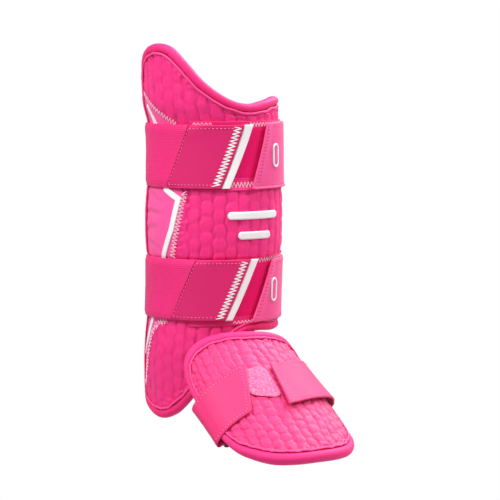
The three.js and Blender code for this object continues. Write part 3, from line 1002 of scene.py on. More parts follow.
# Painted shade along the piping's flanks.
SEAM_SHADE_CLOTH = KnitCloth("seam_shade_cloth", SEAM_SHADE_PINK, roughness=0.8, sheen=0.0, pitch=0.6, shine=0.1)
# Painted shade in the dents between stitches.
DENT_SHADE_THREAD = TwistedThread("dent_shade_thread", SEAM_SHADE_PINK, roughness=0.8, sheen=0.0, mottle=0.05, shine=0.1)
PALE_LOOP_CLOTH = BrushedLoop(
    "pale_loop_cloth", PALE_LOOP_PINK, roughness=0.85, sheen=0.6, bump=0.8, fibre=520.0, tips=PALE_TIPS
)
WHITE_TAPE = SatinTape("satin_white_tape", WHITE, roughness=0.42, sheen=0.0, mottle=0.06, bump=0.2)
WHITE_THREAD = TwistedThread("white_thread", WHITE, roughness=0.6, sheen=0.1, mottle=0.05)
SEAM_THREAD = TwistedThread("seam_thread", PALEST_PINK, roughness=0.6, sheen=0.1, mottle=0.05)
PINK_THREAD = TwistedThread("pink_thread", THREAD_PINK, roughness=0.6, sheen=0.1, mottle=0.05)
BLACK_WEBBING = RibbedElastic("black_webbing", BLACK, roughness=0.75, sheen=0.1, pitch=2.2, bump=0.4)


class Slot(Enum):
    """The record's material slots."""

    QUILTED = "quilted_cloth"
    PANEL = "panel_cloth"
    EDGE = "edge_cloth"
    ELASTIC = "elastic"
    LOOP = "loop_cloth"
    TAPE = "white_tape"
    WEBBING = "webbing"


class Workshop:
    """Takes finished meshes, dresses them and puts them on the part."""

    def __init__(self, shelf: EffectShelf) -> None:
        """Keeps the shared effects that finishes use."""
        self.shelf = shelf

    def add(
        self,
        name: str,
        bm: BMesh,
        slot: Slot,
        finishes: Sequence[Finish],
        replaces: Sequence[str] = (),
    ) -> bpy.types.Object:
        """Turns a bmesh into a piece that rides on the part.

        Args:
            name: The piece's name.
            bm: Its mesh, in metres, which is freed.
            slot: The record's slot that it takes its finish from; not used.
            finishes: Its materials, by face material number.
            replaces: The CAD nodes that it stands for.

        Returns:
            The piece.
        """
        mesh = bpy.data.meshes.new(name)
        for face in bm.faces:
            face.smooth = True
        bm.to_mesh(mesh)
        bm.free()
        for finish in finishes:
            mesh.materials.append(finish.material(self.shelf))
        piece = bpy.data.objects.new(name, mesh)
        bpy.context.scene.collection.objects.link(piece)
        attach(piece, BODY)
        if replaces:
            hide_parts(*replaces)
        LOG.info("%s: %d faces", name, len(mesh.polygons))
        return piece


class SheetMesh:
    """A closed wall over a grid: an outer face, an inner face and the rim between them."""

    UV = "lengths"

    def __init__(self, across: Array, up: Array) -> None:
        """Makes both faces as one grid and a second one extruded from it.

        Args:
            across: Rising shares where the grid's columns stand.
            up: Rising shares where its rows stand.
        """
        columns, rows = len(across) - 1, len(up) - 1
        self.bm = bmesh.new()
        bmesh.ops.create_grid(self.bm, x_segments=columns, y_segments=rows, size=0.5)
        first = [*self.bm.verts, *self.bm.edges, *self.bm.faces]
        self.inner_faces = list(self.bm.faces)
        made = bmesh.ops.extrude_face_region(self.bm, geom=first, use_keep_orig=True)["geom"]
        self.outer_faces = [item for item in made if isinstance(item, bmesh.types.BMFace)]
        bmesh.ops.reverse_faces(self.bm, faces=self.inner_faces)
        self.outer_verts = [item for item in made if isinstance(item, bmesh.types.BMVert)]
        outside = set(self.outer_verts)
        self.inner_verts = [vert for vert in self.bm.verts if vert not in outside]
        self.across, self.up = across, up
        self.places = {}
        for key, verts in (("outer", self.outer_verts), ("inner", self.inner_verts)):
            flat = np.array([vert.co[:2] for vert in verts]) + 0.5
            column = np.rint(flat[:, 0] * columns).astype(int)
            row = np.rint(flat[:, 1] * rows).astype(int)
            self.places[key] = (column, row)

    def lay(self, outer: Array, inner: Array, lengths: Array) -> BMesh:
        """Moves both faces to their places.

        Args:
            outer: Points of the outer face by row and column, in millimetres.
            inner: Points of the inner face.
            lengths: Each place's lengths across and up, in millimetres, for its finish.

        Returns:
            The closed wall, in metres, whose inner faces have material number 1.
        """
        for key, verts, points in (("outer", self.outer_verts, outer), ("inner", self.inner_verts, inner)):
            column, row = self.places[key]
            for vert, place in zip(verts, (points[row, column] * MM).tolist()):
                vert.co = place
        layer = self.bm.loops.layers.uv.new(self.UV)
        measured = {}
        for key, verts in (("outer", self.outer_verts), ("inner", self.inner_verts)):
            column, row = self.places[key]
            measured.update(zip(verts, lengths[row, column].tolist()))
        for face in self.bm.faces:
            for loop in face.loops:
                loop[layer].uv = measured[loop.vert]
        for face in self.inner_faces:
            face.material_index = 1
        bmesh.ops.recalc_face_normals(self.bm, faces=self.bm.faces[:])
        return self.bm


def grid_lines(count: int, margin: float = 0.0, extra: Sequence[float] = (0.0, 0.25, 0.6, 1.0)) -> Array:
    """Shares for a grid's lines: even in the middle, with a few more close to both ends.

    Args:
        count: How many even steps there are.
        margin: The share that the closer lines take at each end.
        extra: Where those lines stand in the margin.

    Returns:
        Rising shares from 0 to 1.
    """
    if margin <= 0:
        return np.linspace(0, 1, count + 1)
    close = np.array(extra) * margin
    middle = np.linspace(margin, 1 - margin, count + 1)[1:-1]
    return np.concatenate([close, middle, 1 - close[::-1]])


class GridSize(NamedTuple):
    """A wall's grid: its columns and rows, and the shares at their ends where lines stand closer."""

    columns: int
    column_margin: float
    rows: int
    row_margin: float

    def lines(self) -> tuple[Array, Array]:
        """The shares of the columns and of the rows."""
        return grid_lines(self.columns, self.column_margin), grid_lines(self.rows, self.row_margin)


def edge_distance(points: Array) -> Array:
    """How far each point of a grid is from the grid's nearest border, along its rows and columns.

    Args:
        points: Points by row and column.

    Returns:
        Millimetres, by row and column.
    """
    found = []
    for axis in (0, 1):
        steps = np.linalg.norm(np.diff(points, axis=axis), axis=-1)
        start = np.insert(np.cumsum(steps, axis=axis), 0, 0, axis=axis)
        total = np.take(start, [-1], axis=axis)
        found.append(np.minimum(start, total - start))
    return np.minimum(*found)


def rounded(distance: Array, radius: float) -> Array:
    """How far a face drops at a rounded edge: the radius at the edge, none a radius away from it."""
    short = np.clip(radius - distance, 0, radius)
    return radius - np.sqrt(radius**2 - short**2)


def roll_tube(points: Array, lengths: Array) -> BMesh:
    """Rolls a grid into a closed ring of tube.

    Args:
        points: Points by step along the ring and step round the section, with each end repeated.
        lengths: Lengths along and round, in millimetres, for the finish.

    Returns:
        The tube, in metres.
    """
    steps, sides = points.shape[0] - 1, points.shape[1] - 1
    bm = bmesh.new()
    bmesh.ops.create_grid(bm, x_segments=steps, y_segments=sides, size=0.5)
    layer = bm.loops.layers.uv.new(SheetMesh.UV)
    for vert in bm.verts:
        step = round((vert.co.x + 0.5) * steps)
        side = round((vert.co.y + 0.5) * sides)
        for loop in vert.link_loops:
            loop[layer].uv = lengths[step, side]
        vert.co = points[step, side] * MM
    bmesh.ops.remove_doubles(bm, verts=bm.verts[:], dist=TINY)
    bmesh.ops.recalc_face_normals(bm, faces=bm.faces[:])
    return bm


def face_lengths(bm: BMesh) -> Iterator[tuple[bmesh.types.BMFace, Array]]:
    """Each face of a mesh with the lengths along and up at its middle, in millimetres."""
    layer = bm.loops.layers.uv[SheetMesh.UV]
    for face in bm.faces:
        yield face, np.mean([loop[layer].uv for loop in face.loops], axis=0)


@dataclass
class Stitching:
    """Rows of thread, each stitch a small rounded grain that lies on its cloth."""

    thread: float = 0.8
    flatness: float = 0.75
    overlap: float = 0.6
    bm: BMesh = field(default_factory=bmesh.new)

    def stitch(self, start: Array, end: Array, out: Array, finish: int = 0) -> None:
        """Lays one stitch between two points.

        Args:
            start: Where it comes up, in millimetres.
            end: Where it goes down.
            out: The cloth's direction out.
            finish: Its material number.
        """
        ahead = Vector((end - start).tolist())
        length = ahead.length + self.thread * self.overlap
        forward = ahead.normalized()
        up = Vector(out.tolist())
        side = up.cross(forward).normalized()
        up = forward.cross(side)
        turn = Matrix((side, up, forward)).transposed().to_4x4()
        sizes = Matrix.Diagonal((self.thread, self.thread * self.flatness, length, 1.0))
        middle = Matrix.Translation(Vector(((start + end) / 2).tolist()))
        place = Matrix.Scale(MM, 4) @ middle @ turn @ sizes
        made = bmesh.ops.create_uvsphere(self.bm, u_segments=6, v_segments=5, radius=0.5, matrix=place)
        for vert in made["verts"]:
            for face in vert.link_faces:
                face.material_index = finish

    def dashes(self, line: Array, out: Array, pitch: float, share: float = 0.5) -> None:
        """Lays even stitches along a line, with a short dark stitch between each two as painted shade in the
        dent.

        Args:
            line: Close points along the line.
            out: The cloth's direction out at each.
            pitch: From one stitch to the next.
            share: The stitch's share of the pitch.
        """
        along = running_length(line)
        count = max(int(along[-1] / pitch), 1)
        dent = (1 - share) / 2
        # The second row is the dark dent stitches: painted shade.
        rows = ((0, dent, 1 - dent, count), (1, 1 - dent / 2, 1 + dent / 2, count - 1))
        for finish, first, last, total in rows:
            for index in range(total):
                ends = (np.array([first, last]) + index) * along[-1] / count
                start, end = on_line(ends, along, line)
                self.stitch(start, end, on_line(ends.mean(), along, out), finish)

    def zigzag(self, low: Array, high: Array, out: Array, pitch: float) -> None:
        """Lays slanting stitches to and fro between two lines.

        Args:
            low: Close points along one line.
            high: Points along the other, beside the first ones.
            out: The cloth's direction out at each.
            pitch: From one zigzag to the next.
        """
        along = running_length(low)
        count = max(int(along[-1] / pitch * 2), 2)
        turns = np.linspace(0, along[-1], count + 1)
        lines = [on_line(turns, along, line) for line in (low, high)]
        normals = on_line(turns, along, out)
        for index in range(count):
            start, end = lines[index % 2][index], lines[(index + 1) % 2][index + 1]
            self.stitch(start, end, normals[index])


def outward(surface: Surface, turn: Array, height: Array, out: Array) -> Array:
    """The direction out of a surface at places on it."""
    return surface.point(turn, height, np.asarray(out) + 1.0) - surface.point(turn, height, out)


class Crease(NamedTuple):
    """A fold pressed into the side panel by the wearer's calf."""

    turn: float
    height: float
    slope: float
    reach: float
    width: float
    depth: float
    crest: float = 0.5
    crest_away: float = 1.7

    def drop(self, turn: Array, height: Array) -> Array:
        """How far the fold lies below the panel's face, in millimetres, with a crest beside it."""
        off = (height - self.height - self.slope * (turn - self.turn)) / self.width
        valley = np.exp(-(off**2)) - self.crest * np.exp(-((off - self.crest_away) ** 2))
        return self.depth * valley * np.clip(1 - ((turn - self.turn) / self.reach) ** 2, 0, 1)


PANEL_CREASES = (
    Crease(106, 8, 0.05, 24, 2.2, 0.8),
    Crease(110, -7, -0.1, 22, 2.6, 0.8),
    Crease(100, 23, 0.45, 18, 2.2, 0.8),
    Crease(103, -21, 0.25, 18, 2.4, 0.6),
)


class Spots(NamedTuple):
    """Places on a pad, and how far each is from the pad's edge."""

    turn: Array
    height: Array
    across: Array
    edge: Array
    cell_across: Array
    cell_up: Array


@dataclass
class Pad:
    """A foam pad inside an outline, with its rolled binding and the piping beside it."""

    name: str
    surface: Surface
    outline: Outline
    quilt: Quilt
    edge_cloth: Finish = EDGE_CLOTH
    thickness: float = 8.0
    binding_width: float = 8.6
    binding_bulge: float = 1.2
    binding_roundness: float = 0.85
    binding_puckers: Swell = Swell(0.18, 7.0, 8)
    binding_step: float = 2.2
    binding_sides: int = 20
    rim_gap: float = -0.6
    edge_radius: float = 2.2
    inner_rounding: float = 0.8
    edge_cells: float = 0.55
    edge_fade: tuple[float, float] = (0.5, 5.0)
    uneven_across: Swell = Swell(0.9, 24.0, 17)
    uneven_up: Swell = Swell(0.9, 24.0, 18)
    swells: Swell = Swell(0.25, 22.0, 7)
    crinkles: Swell = Swell(0.08, 3.6, 20)
    edge_puckers: Swell = Swell(0.85, 4.5, 15, (1.0, 0.7))
    pucker_reach: tuple[float, float] = (1.0, 12.0)
    piping_radius: float = 1.3
    piping_inset: float = 1.1
    piping_wave: Swell = Swell(0.6, 16.0, 9)
    piping_shade_flank: float = 0.8
    piping_step: float = 1.8
    piping_sides: int = 12
    noise_ring: float = 160.0

    def inset(self) -> float:
        """How far the pad's own edge stands in from the outline."""
        return self.binding_width + self.rim_gap

    def foam_wall(
        self, lines: tuple[Array, Array], u: Array, v: Array, drop: Callable[[Spots], Array]
    ) -> BMesh:
        """A padded wall over a part of the outline.

        Args:
            lines: The grid's column shares and row shares.
            u: Each grid place's share across the outline, by row and column.
            v: Each grid place's share up it.
            drop: How far the outer face lies below the surface.

        Returns:
            The closed wall.
        """
        turn, height = self.outline.inside(u, v, self.inset())
        x = turn * self.surface.mm_per_degree
        edge = edge_distance(self.surface.point(turn, height, 0.0))
        cell_x = x + self.uneven_across.at(x, height)
        cell_y = height + self.uneven_up.at(x, height)
        bend = rounded(edge, self.edge_radius)
        below = bend + drop(Spots(turn, height, x, edge, cell_x, cell_y))
        outer = self.surface.point(turn, height, -below)
        inner = self.surface.point(turn, height, bend * self.inner_rounding - self.thickness)
        return SheetMesh(*lines).lay(outer, inner, np.stack([cell_x, cell_y], -1))

    def quilt_drop(self, at: Spots) -> Array:
        """How far a quilted face lies below the surface: cells, swells, edge puckers and crinkles."""
        fade = blend(self.edge_cells, 1.0, smooth(*self.edge_fade, at.edge))
        cells = self.quilt.drop(at.cell_across, at.cell_up) * fade
        puckers = self.edge_puckers.at(at.across, at.height) * (1 - smooth(*self.pucker_reach, at.edge))
        return cells + puckers + self.swells.at(at.across, at.height) + self.crinkles.at(at.across, at.height)

    def ring(self, step: float, sides: int, noise: Swell) -> tuple[Array, Array, Array]:
        """The grid of a tube along the outline, with noise that meets itself.

        Args:
            step: About how far apart its rings stand.
            sides: How many sides a ring has.
            noise: The pattern that it follows.

        Returns:
            Shares along the outline, angles round the tube, and the noise at each share.
        """
        share = np.linspace(0, 1, int(self.outline.length / step) + 1)[:, None]
        angle = np.linspace(0, 2 * math.pi, sides + 1)[None, :]
        way = 2 * math.pi * share
        return share, angle, noise.at(np.cos(way) * self.noise_ring, np.sin(way) * self.noise_ring)

    def rolled(self, share: Array, inset: Array, out: Array, lengths: Array) -> BMesh:
        """A tube along the outline.

        Args:
            share: Shares along the outline.
            inset: Millimetres in from it, by share and angle.
            out: Millimetres out from the surface.
            lengths: Lengths round the tube.

        Returns:
            The closed tube.
        """
        place = self.outline.at(share, inset)
        points = self.surface.point(place[..., 0] / self.outline.mm_per_degree, place[..., 1], out)
        along = share * self.outline.length
        return roll_tube(points, np.stack(np.broadcast_arrays(along, lengths), -1))

    def binding(self) -> BMesh:
        """The rolled edge: a soft oval tube along the outline with faint puckers."""
        share, angle, pucker = self.ring(self.binding_step, self.binding_sides, self.binding_puckers)
        half_width = self.binding_width / 2
        half_depth = self.thickness / 2 + self.binding_bulge + pucker
        round_in = np.abs(np.cos(angle)) ** self.binding_roundness * np.sign(np.cos(angle))
        out = -self.thickness / 2 - half_depth * np.sin(angle)
        return self.rolled(share, half_width + half_width * round_in, out, angle * half_width)

    def piping(self) -> BMesh:
        """A fine cord that lies between the binding and the pad, with painted shade on both flanks where it
        is sewn in.
        """
        share, angle, wave = self.ring(self.piping_step, self.piping_sides, self.piping_wave)
        inset = self.inset() + self.piping_inset + wave + self.piping_radius * np.cos(angle)
        out = -self.piping_radius * np.sin(angle)
        bm = self.rolled(share, inset, out, angle * self.piping_radius)
        # Painted shade: faces on the cord's two flanks take the dark seam finish.
        for face, (_, round_it) in face_lengths(bm):
            if abs(math.cos(round_it / self.piping_radius)) > self.piping_shade_flank:
                face.material_index = 1
        return bm

    def add_edges(self, shop: Workshop) -> None:
        """Adds the binding and the piping to the part."""
        node = f"{self.name}_binding"
        rolled = shop.add(node, self.binding(), Slot.EDGE, [self.edge_cloth], [node])
        shop.add(f"{self.name}_piping", self.piping(), Slot.EDGE, [PIPING_CLOTH, SEAM_SHADE_CLOTH])


@dataclass
class ShinGuard:
    """The shin shell: quilted pad, smooth side panel, stripe, front bars and seam stitches."""

    surface: ShinSurface
    pad_grid: GridSize = GridSize(178, 0.012, 220, 0.008)
    panel_grid: GridSize = GridSize(52, 0.02, 170, 0.006)
    pad_across: float = 240.0
    panel_sink: float = 0.6
    panel_least: float = 0.012
    ripples: Swell = Swell(0.3, 9.0, 7, (0.35, 1.0))
    ripple_turns: tuple[float, float] = (60, 135)
    seam_gap: float = 0.35
    seam_reach: float = 0.75
    seam_tries: int = 1200
    row_tries: int = 1500
    seam_thread: float = 0.75
    seam_pitch: float = 3.3
    seam_out: float = 0.15
    stripe_width: float = 5.5
    stripe_thickness: float = 0.7
    stripe_edge: float = 0.35
    stripe_gap: float = 0.05
    stripe_taper: float = 0.55
    stripe_steps: int = 26
    bar_width: float = 7.0
    bar_thickness: float = 1.4
    bar_out: float = 0.1
    bar_heights: tuple[float, float] = (7.0, -11.0)
    bar_half_lengths: tuple[float, float] = (28.0, 18.0)

    def __post_init__(self) -> None:
        """Makes the pad that holds the shell's outline."""
        outline = Outline(SHIN_OUTLINE, self.surface.mm_per_degree)
        self.pad = Pad("shin", self.surface, outline, SHIN_QUILT)

    @staticmethod
    def seam_turn(height: Array) -> Array:
        """The turn of the side panel's seam at a height."""
        return np.interp(height, [row.height for row in PANEL_SEAM], [row.turn for row in PANEL_SEAM])

    def seam_shares(self, up: Array) -> Array:
        """The share across the outline where each row of a grid meets the seam.

        Args:
            up: The rows' shares up the outline.

        Returns:
            One share for each row: 0 where the row has no panel.
        """
        tries = np.linspace(0, self.seam_reach, self.seam_tries)
        u, v = np.meshgrid(tries, up)
        turn, height = self.pad.outline.inside(u, v, self.pad.inset())
        past = turn < self.seam_turn(height)
        return np.where(past.any(1), tries[past.argmax(1)], 0.0)

    def build(self, shop: Workshop) -> None:
        """Adds every piece of the shin guard."""
        self.add_quilt(shop)
        self.add_panel(shop)
        self.pad.add_edges(shop)
        self.add_stripe(shop)
        self.add_bars(shop)
        self.add_seam(shop)

    def add_quilt(self, shop: Workshop) -> None:
        """Adds the quilted pad, from the seam to the outer side."""
        across, up = lines = self.pad_grid.lines()
        s, v = np.meshgrid(across, up)
        start = self.seam_shares(up)[:, None]
        gap = np.where(start > 0, self.seam_gap / self.pad_across, 0.0)
        bm = self.pad.foam_wall(lines, blend(start + gap, 1.0, s), v, self.pad.quilt_drop)
        piece = shop.add("shin_pad", bm, Slot.QUILTED, [QUILT_CLOTH, SHADED_LINING_CLOTH], ["shin_pad"])

    def add_panel(self, shop: Workshop) -> None:
        """Adds the smooth panel, from the back edge to the seam."""
        tries = np.linspace(0, 1, self.row_tries)
        wide = tries[self.seam_shares(tries) > self.panel_least]
        across, up = lines = self.panel_grid.lines()
        s, v = np.meshgrid(across, blend(wide.min(), wide.max(), up))
        end = self.seam_shares(v[:, 0])[:, None] - self.seam_gap / self.pad_across
        bm = self.pad.foam_wall(lines, end * s, v, self.panel_drop)
        piece = shop.add("side_panel", bm, Slot.PANEL, [PANEL_CLOTH, SHADED_LINING_CLOTH], ["side_panel"])

    def panel_drop(self, at: Spots) -> Array:
        """How far the side panel lies below the surface: slow ripples and creases."""
        ripples = self.ripples.at(at.across, at.height) * smooth(*self.ripple_turns, at.turn)
        drop = self.panel_sink + ripples
        for crease in PANEL_CREASES:
            drop = drop + crease.drop(at.turn, at.height)
        return drop

    def stripe_line(self) -> tuple[Array, Array]:
        """The stripe's middle line and its direction across, in developed millimetres.

        Returns:
            Points along the line, and half the stripe's width across at each.
        """
        line = np.array([(row.turn * self.surface.mm_per_degree, row.height) for row in STRIPE_LINE])
        ahead = unit(np.diff(line, axis=0))
        below, above = np.vstack([ahead[:1], ahead]), np.vstack([ahead, ahead[-1:]])
        middle = unit(below + above)
        across = rightward(middle) * self.stripe_width / 2 / np.sum(middle * below, axis=1, keepdims=True)
        rows = np.arange(len(line))
        place = np.linspace(0, rows[-1], rows[-1] * self.stripe_steps + 1)
        return on_line(place, rows, line), on_line(place, rows, across)

    def add_stripe(self, shop: Workshop) -> None:
        """Adds the kinked white tape, thinner towards both ends."""
        points, sides = self.stripe_line()
        steps = np.arange(len(points))
        taper = blend(self.stripe_taper, 1.0, smooth(0, self.stripe_steps, np.minimum(steps, steps[::-1])))
        up = np.linspace(0, 1, len(points))
        across = grid_lines(3, 0.12, (0.0, 0.5, 1.0))
        offset = (1 - 2 * across)[None, :, None]
        place = points[:, None] + sides[:, None] * offset * taper[:, None, None]
        turn, height = place[..., 0] / self.surface.mm_per_degree, place[..., 1]
        distance = (1 - np.abs(offset[..., 0])) * self.stripe_width / 2
        top = self.stripe_thickness - self.panel_sink + self.stripe_edge - rounded(distance, self.stripe_edge)
        outer = self.surface.point(turn, height, top)
        inner = self.surface.point(turn, height, self.stripe_gap - self.panel_sink)
        bm = SheetMesh(across, up).lay(outer, inner, place)
        shop.add("side_stripe", bm, Slot.TAPE, [WHITE_TAPE, WHITE_TAPE], ["side_stripe"])

    def add_bars(self, shop: Workshop) -> None:
        """Adds the two plain raised bars on the front."""
        names = ("front_bar_upper", "front_bar_lower")
        for name, height, half in zip(names, self.bar_heights, self.bar_half_lengths):
            sizes = (half, self.bar_width / 2, self.bar_thickness)
            bar = RaisedBar(self.surface, 0.0, height, *sizes, self.bar_out)
            shop.add(name, bar.mesh(), Slot.TAPE, [WHITE_TAPE, WHITE_TAPE], [name])

    def add_seam(self, shop: Workshop) -> None:
        """Adds the zigzag stitches that join the panel to the pad, where no strap covers them."""
        sewn = Stitching(thread=self.seam_thread)
        per_degree = self.surface.mm_per_degree
        for low, high, half_width in SEAM_STRETCHES:
            rows = [row for row in PANEL_SEAM if low < row.height < high]
            heights = np.array([low, *(row.height for row in rows), high])
            corners = np.stack([self.seam_turn(heights) * per_degree, heights], -1)
            along = running_length(corners)
            line = on_line(np.linspace(0, along[-1], int(along[-1] * 2) + 2), along, corners)
            across = rightward(unit(np.gradient(line, axis=0))) * half_width
            edges = []
            for spot in (line - across, line + across):
                edges.append(self.surface.point(spot[:, 0] / per_degree, spot[:, 1], self.seam_out))
            out = outward(self.surface, line[:, 0] / per_degree, line[:, 1], 0.0)
            sewn.zigzag(*edges, out, self.seam_pitch)
        shop.add("seam_stitches", sewn.bm, Slot.TAPE, [SEAM_THREAD])


@dataclass
class RaisedBar:
    """A plain raised bar with round ends, flat on a surface."""

    surface: Surface
    turn: float
    height: float
    half_length: float
    half_width: float
    thickness: float
    out: float
    upright: bool = False
    edge: float = 0.6
    edge_drop: float = 0.48
    recess: float = 0.5
    segments: int = 36
    longest_edge: float = 4.0
    cuts: int = 5

    def mesh(self, rim: float = 0.0) -> BMesh:
        """Makes the bar.

        Args:
            rim: How wide the bar's rim is before its middle takes material number 1, or 0 for none.

        Returns:
            The closed bar.
        """
        bm = bmesh.new()
        layer = bm.loops.layers.uv.new(SheetMesh.UV)
        bmesh.ops.create_circle(bm, cap_ends=True, segments=self.segments, radius=self.half_width)
        straight = self.half_length - self.half_width
        for vert in bm.verts:
            vert.co.x += math.copysign(straight, vert.co.x)
        top = bm.faces[:]
        raised = bmesh.ops.extrude_face_region(bm, geom=top, use_keep_orig=True)["geom"]
        bmesh.ops.reverse_faces(bm, faces=top)
        caps = [item for item in raised if isinstance(item, bmesh.types.BMFace)]
        bmesh.ops.translate(bm, verts=caps[0].verts[:], vec=(0, 0, self.thickness))
        bmesh.ops.inset_region(bm, faces=caps, thickness=self.edge, depth=0.0)
        if rim > 0:
            bmesh.ops.inset_region(bm, faces=caps, thickness=rim, depth=0.0)
            bmesh.ops.inset_region(bm, faces=caps, thickness=self.recess, depth=-self.recess)
            caps[0].material_index = 1
        border = [vert for vert in bm.verts if vert.co.z > self.thickness - self.recess / 2]
        outer = self.half_width - self.edge / 2
        for vert in border:
            past = max(abs(vert.co.x) - straight, 0.0)
            if math.hypot(past, vert.co.y) > outer:
                vert.co.z -= self.edge_drop
        bmesh.ops.triangulate(bm, faces=[face for face in bm.faces if len(face.verts) > 4])
        long_edges = [edge for edge in bm.edges if edge.calc_length() > self.longest_edge]
        bmesh.ops.subdivide_edges(bm, edges=long_edges, cuts=self.cuts, use_grid_fill=True)
        bmesh.ops.recalc_face_normals(bm, faces=bm.faces[:])
        for face in bm.faces:
            for loop in face.loops:
                loop[layer].uv = loop.vert.co.xy
        for vert in bm.verts:
            across, along = (-vert.co.y, vert.co.x) if self.upright else (vert.co.x, vert.co.y)
            turn = self.turn + across / self.surface.mm_per_degree
            point = self.surface.point(turn, self.height + along, self.out + vert.co.z)
            vert.co = point * MM
        return bm


class SewnRows(NamedTuple):
    """A tab's dashed rows by shares along it: one by each edge from start to end, and some across."""

    start: float
    end: float
    cross: tuple[float, ...]
    pitch: float


ELASTIC_RIPPLES = Swell(0.18, 11.0, 10, (1.0, 0.5))
FRONT_TAB_ROWS = SewnRows(0.01, 0.83, (0.012,), 3.4)
SIDE_TAB_ROWS = SewnRows(0.07, 0.97, (0.035, 0.075), 3.2)
INNER_TAB_ROWS = SewnRows(0.22, 0.94, (0.94,), 3.2)
OUTER_TAB_ROWS = SewnRows(0.045, 0.8, (0.05,), 3.2)


@dataclass
class StrapRun:
    """One flat stretch of strap on a surface, between two slanted ends."""

    surface: Surface
    start: Ends
    end: Ends
    low: float
    high: float
    out: Callable[[Array], Array]
    thickness: float = 2.2
    edge: float = 0.8
    step: float = 2.0
    middle: Callable[[Array], Array] | None = None
    spread: Callable[[Array], Array] | None = None
    lift: Field | None = None
    corner_start: float = 0.0
    corner_end: float = 0.0
    least_columns: int = 4
    least_rows: int = 6
    margin: float = 2.0
    most_margin: float = 0.2
    relief_fade: tuple[float, float] = (0.3, 2.5)
    route_points: int = 60
    flat_points: int = 200
    line_points: int = 80

    def cornered(self, u: Array, v: Array) -> tuple[Array, Array]:
        """Draws shares near a rounded corner inside it.

        Args:
            u: Shares along the strap.
            v: Shares up it.

        Returns:
            The shares, moved inside the corners' arcs.
        """
        tall = self.high - self.low
        turns = self.end.low + self.end.high - self.start.low - self.start.high
        long = abs(turns) / 2 * self.surface.mm_per_degree
        along, aside = (u - 0.5) * long, (v - 0.5) * tall
        radius = np.where(u < 0.5, self.corner_start, self.corner_end)
        safe = np.maximum(radius, TINY)
        past_along = np.clip((np.abs(along) - long / 2 + radius) / safe, 0, 1)
        past_aside = np.clip((np.abs(aside) - tall / 2 + radius) / safe, 0, 1)
        less_along = past_along * (1 - np.sqrt(1 - past_aside**2 / 2)) * radius
        less_aside = past_aside * (1 - np.sqrt(1 - past_along**2 / 2)) * radius
        return u - np.sign(along) * less_along / long, v - np.sign(aside) * less_aside / tall

    def place(self, u: Array, v: Array) -> tuple[Array, Array]:
        """The turns and heights at shares along and up the strap."""
        u, v = self.cornered(np.asarray(u, float), np.asarray(v, float))
        first = blend(self.start.low, self.end.low, u)
        second = blend(self.start.high, self.end.high, u)
        turn = blend(first, second, v)
        height = blend(self.low, self.high, v)
        if self.spread is not None:
            height = height * self.spread(turn)
        if self.middle is not None:
            height = height + self.middle(turn)
        return turn, height

    def face(self, u: Array, v: Array, above: Array) -> Array:
        """Points at a distance above the strap's underside."""
        turn, height = self.place(u, v)
        out = self.out(turn) + above
        if self.lift is not None:
            out = out + self.lift(u, v)
        return self.surface.point(turn, height, out)

    def normal(self, u: Array, v: Array) -> Array:
        """Directions out at shares along and up the strap."""
        return self.face(u, v, self.thickness + 1.0) - self.face(u, v, self.thickness)

    def length(self, above: float, points: int) -> float:
        """The length of the strap's middle line at a distance above its underside."""
        middle = self.face(np.linspace(0, 1, points), np.full(points, 0.5), above)
        return float(running_length(middle)[-1])

    def mesh(self, relief: Field | None = None) -> BMesh:
        """Makes the stretch.

        Args:
            relief: Extra height of the outer face by lengths along and up.

        Returns:
            The closed strap, with rounded edges.
        """
        length, width = self.length(0.0, self.route_points), self.high - self.low
        columns = max(int(length / self.step), self.least_columns)
        rows = max(int(width / self.step), self.least_rows)
        margins = [min(self.margin / size, self.most_margin) for size in (length, width)]
        across, up = GridSize(columns, margins[0], rows, margins[1]).lines()
        u, v = np.meshgrid(across, up)
        distance = edge_distance(self.face(u, v, 0.0))
        lengths = np.stack([u * length, v * width], -1)
        bend = rounded(distance, self.edge)
        drop = bend
        if relief is not None:
            drop = drop - relief(lengths[..., 0], lengths[..., 1]) * smooth(*self.relief_fade, distance)
        outer = self.face(u, v, self.thickness - drop)
        inner = self.face(u, v, bend)
        return SheetMesh(across, up).lay(outer, inner, lengths)

    def line(self, first: Spot, last: Spot, above: float = 0.1) -> tuple[Array, Array]:
        """A straight line on the outer face.

        Args:
            first: The shares along and up the strap where it starts.
            last: The shares where it ends.
            above: Millimetres off the face.

        Returns:
            Points along the line, and the directions out at them.
        """
        share = np.linspace(0, 1, self.line_points)
        u, v = (blend(*ends, share) for ends in zip(first, last))
        return self.face(u, v, self.thickness + above), self.normal(u, v)

    def sew(self, sewn: Stitching, rows: SewnRows, inset: float) -> None:
        """Sews dashed rows onto the outer face.

        Args:
            sewn: The stitches to add to.
            rows: Where the rows lie along the strap.
            inset: The share up the strap from an edge to its row.
        """
        for v in (inset, 1 - inset):
            sewn.dashes(*self.line((rows.start, v), (rows.end, v)), rows.pitch)
        for u in rows.cross:
            sewn.dashes(*self.line((u, inset), (u, 1 - inset)), rows.pitch)

    def zigzag(self, sewn: Stitching, corners: Sequence[Spot], pitch: float, above: float) -> None:
        """Sews a zigzag between two lines on the outer face.

        Args:
            sewn: The stitches to add to.
            corners: The first line's two ends, then the second line's.
            pitch: From one zigzag to the next.
            above: Millimetres off the face.
        """
        low, out = self.line(*corners[:2], above)
        high, _ = self.line(*corners[2:], above)
        sewn.zigzag(low, high, out, pitch)

    def flat_size(self) -> tuple[float, float]:
        """The stretch's width and length, in metres."""
        return (self.high - self.low) * MM, self.length(self.thickness / 2, self.flat_points) * MM


class PatchSeam(NamedTuple):
    """A zigzag on a loop patch's border, by shares along the patch and up it."""

    start: float
    end: float
    low: float
    high: float


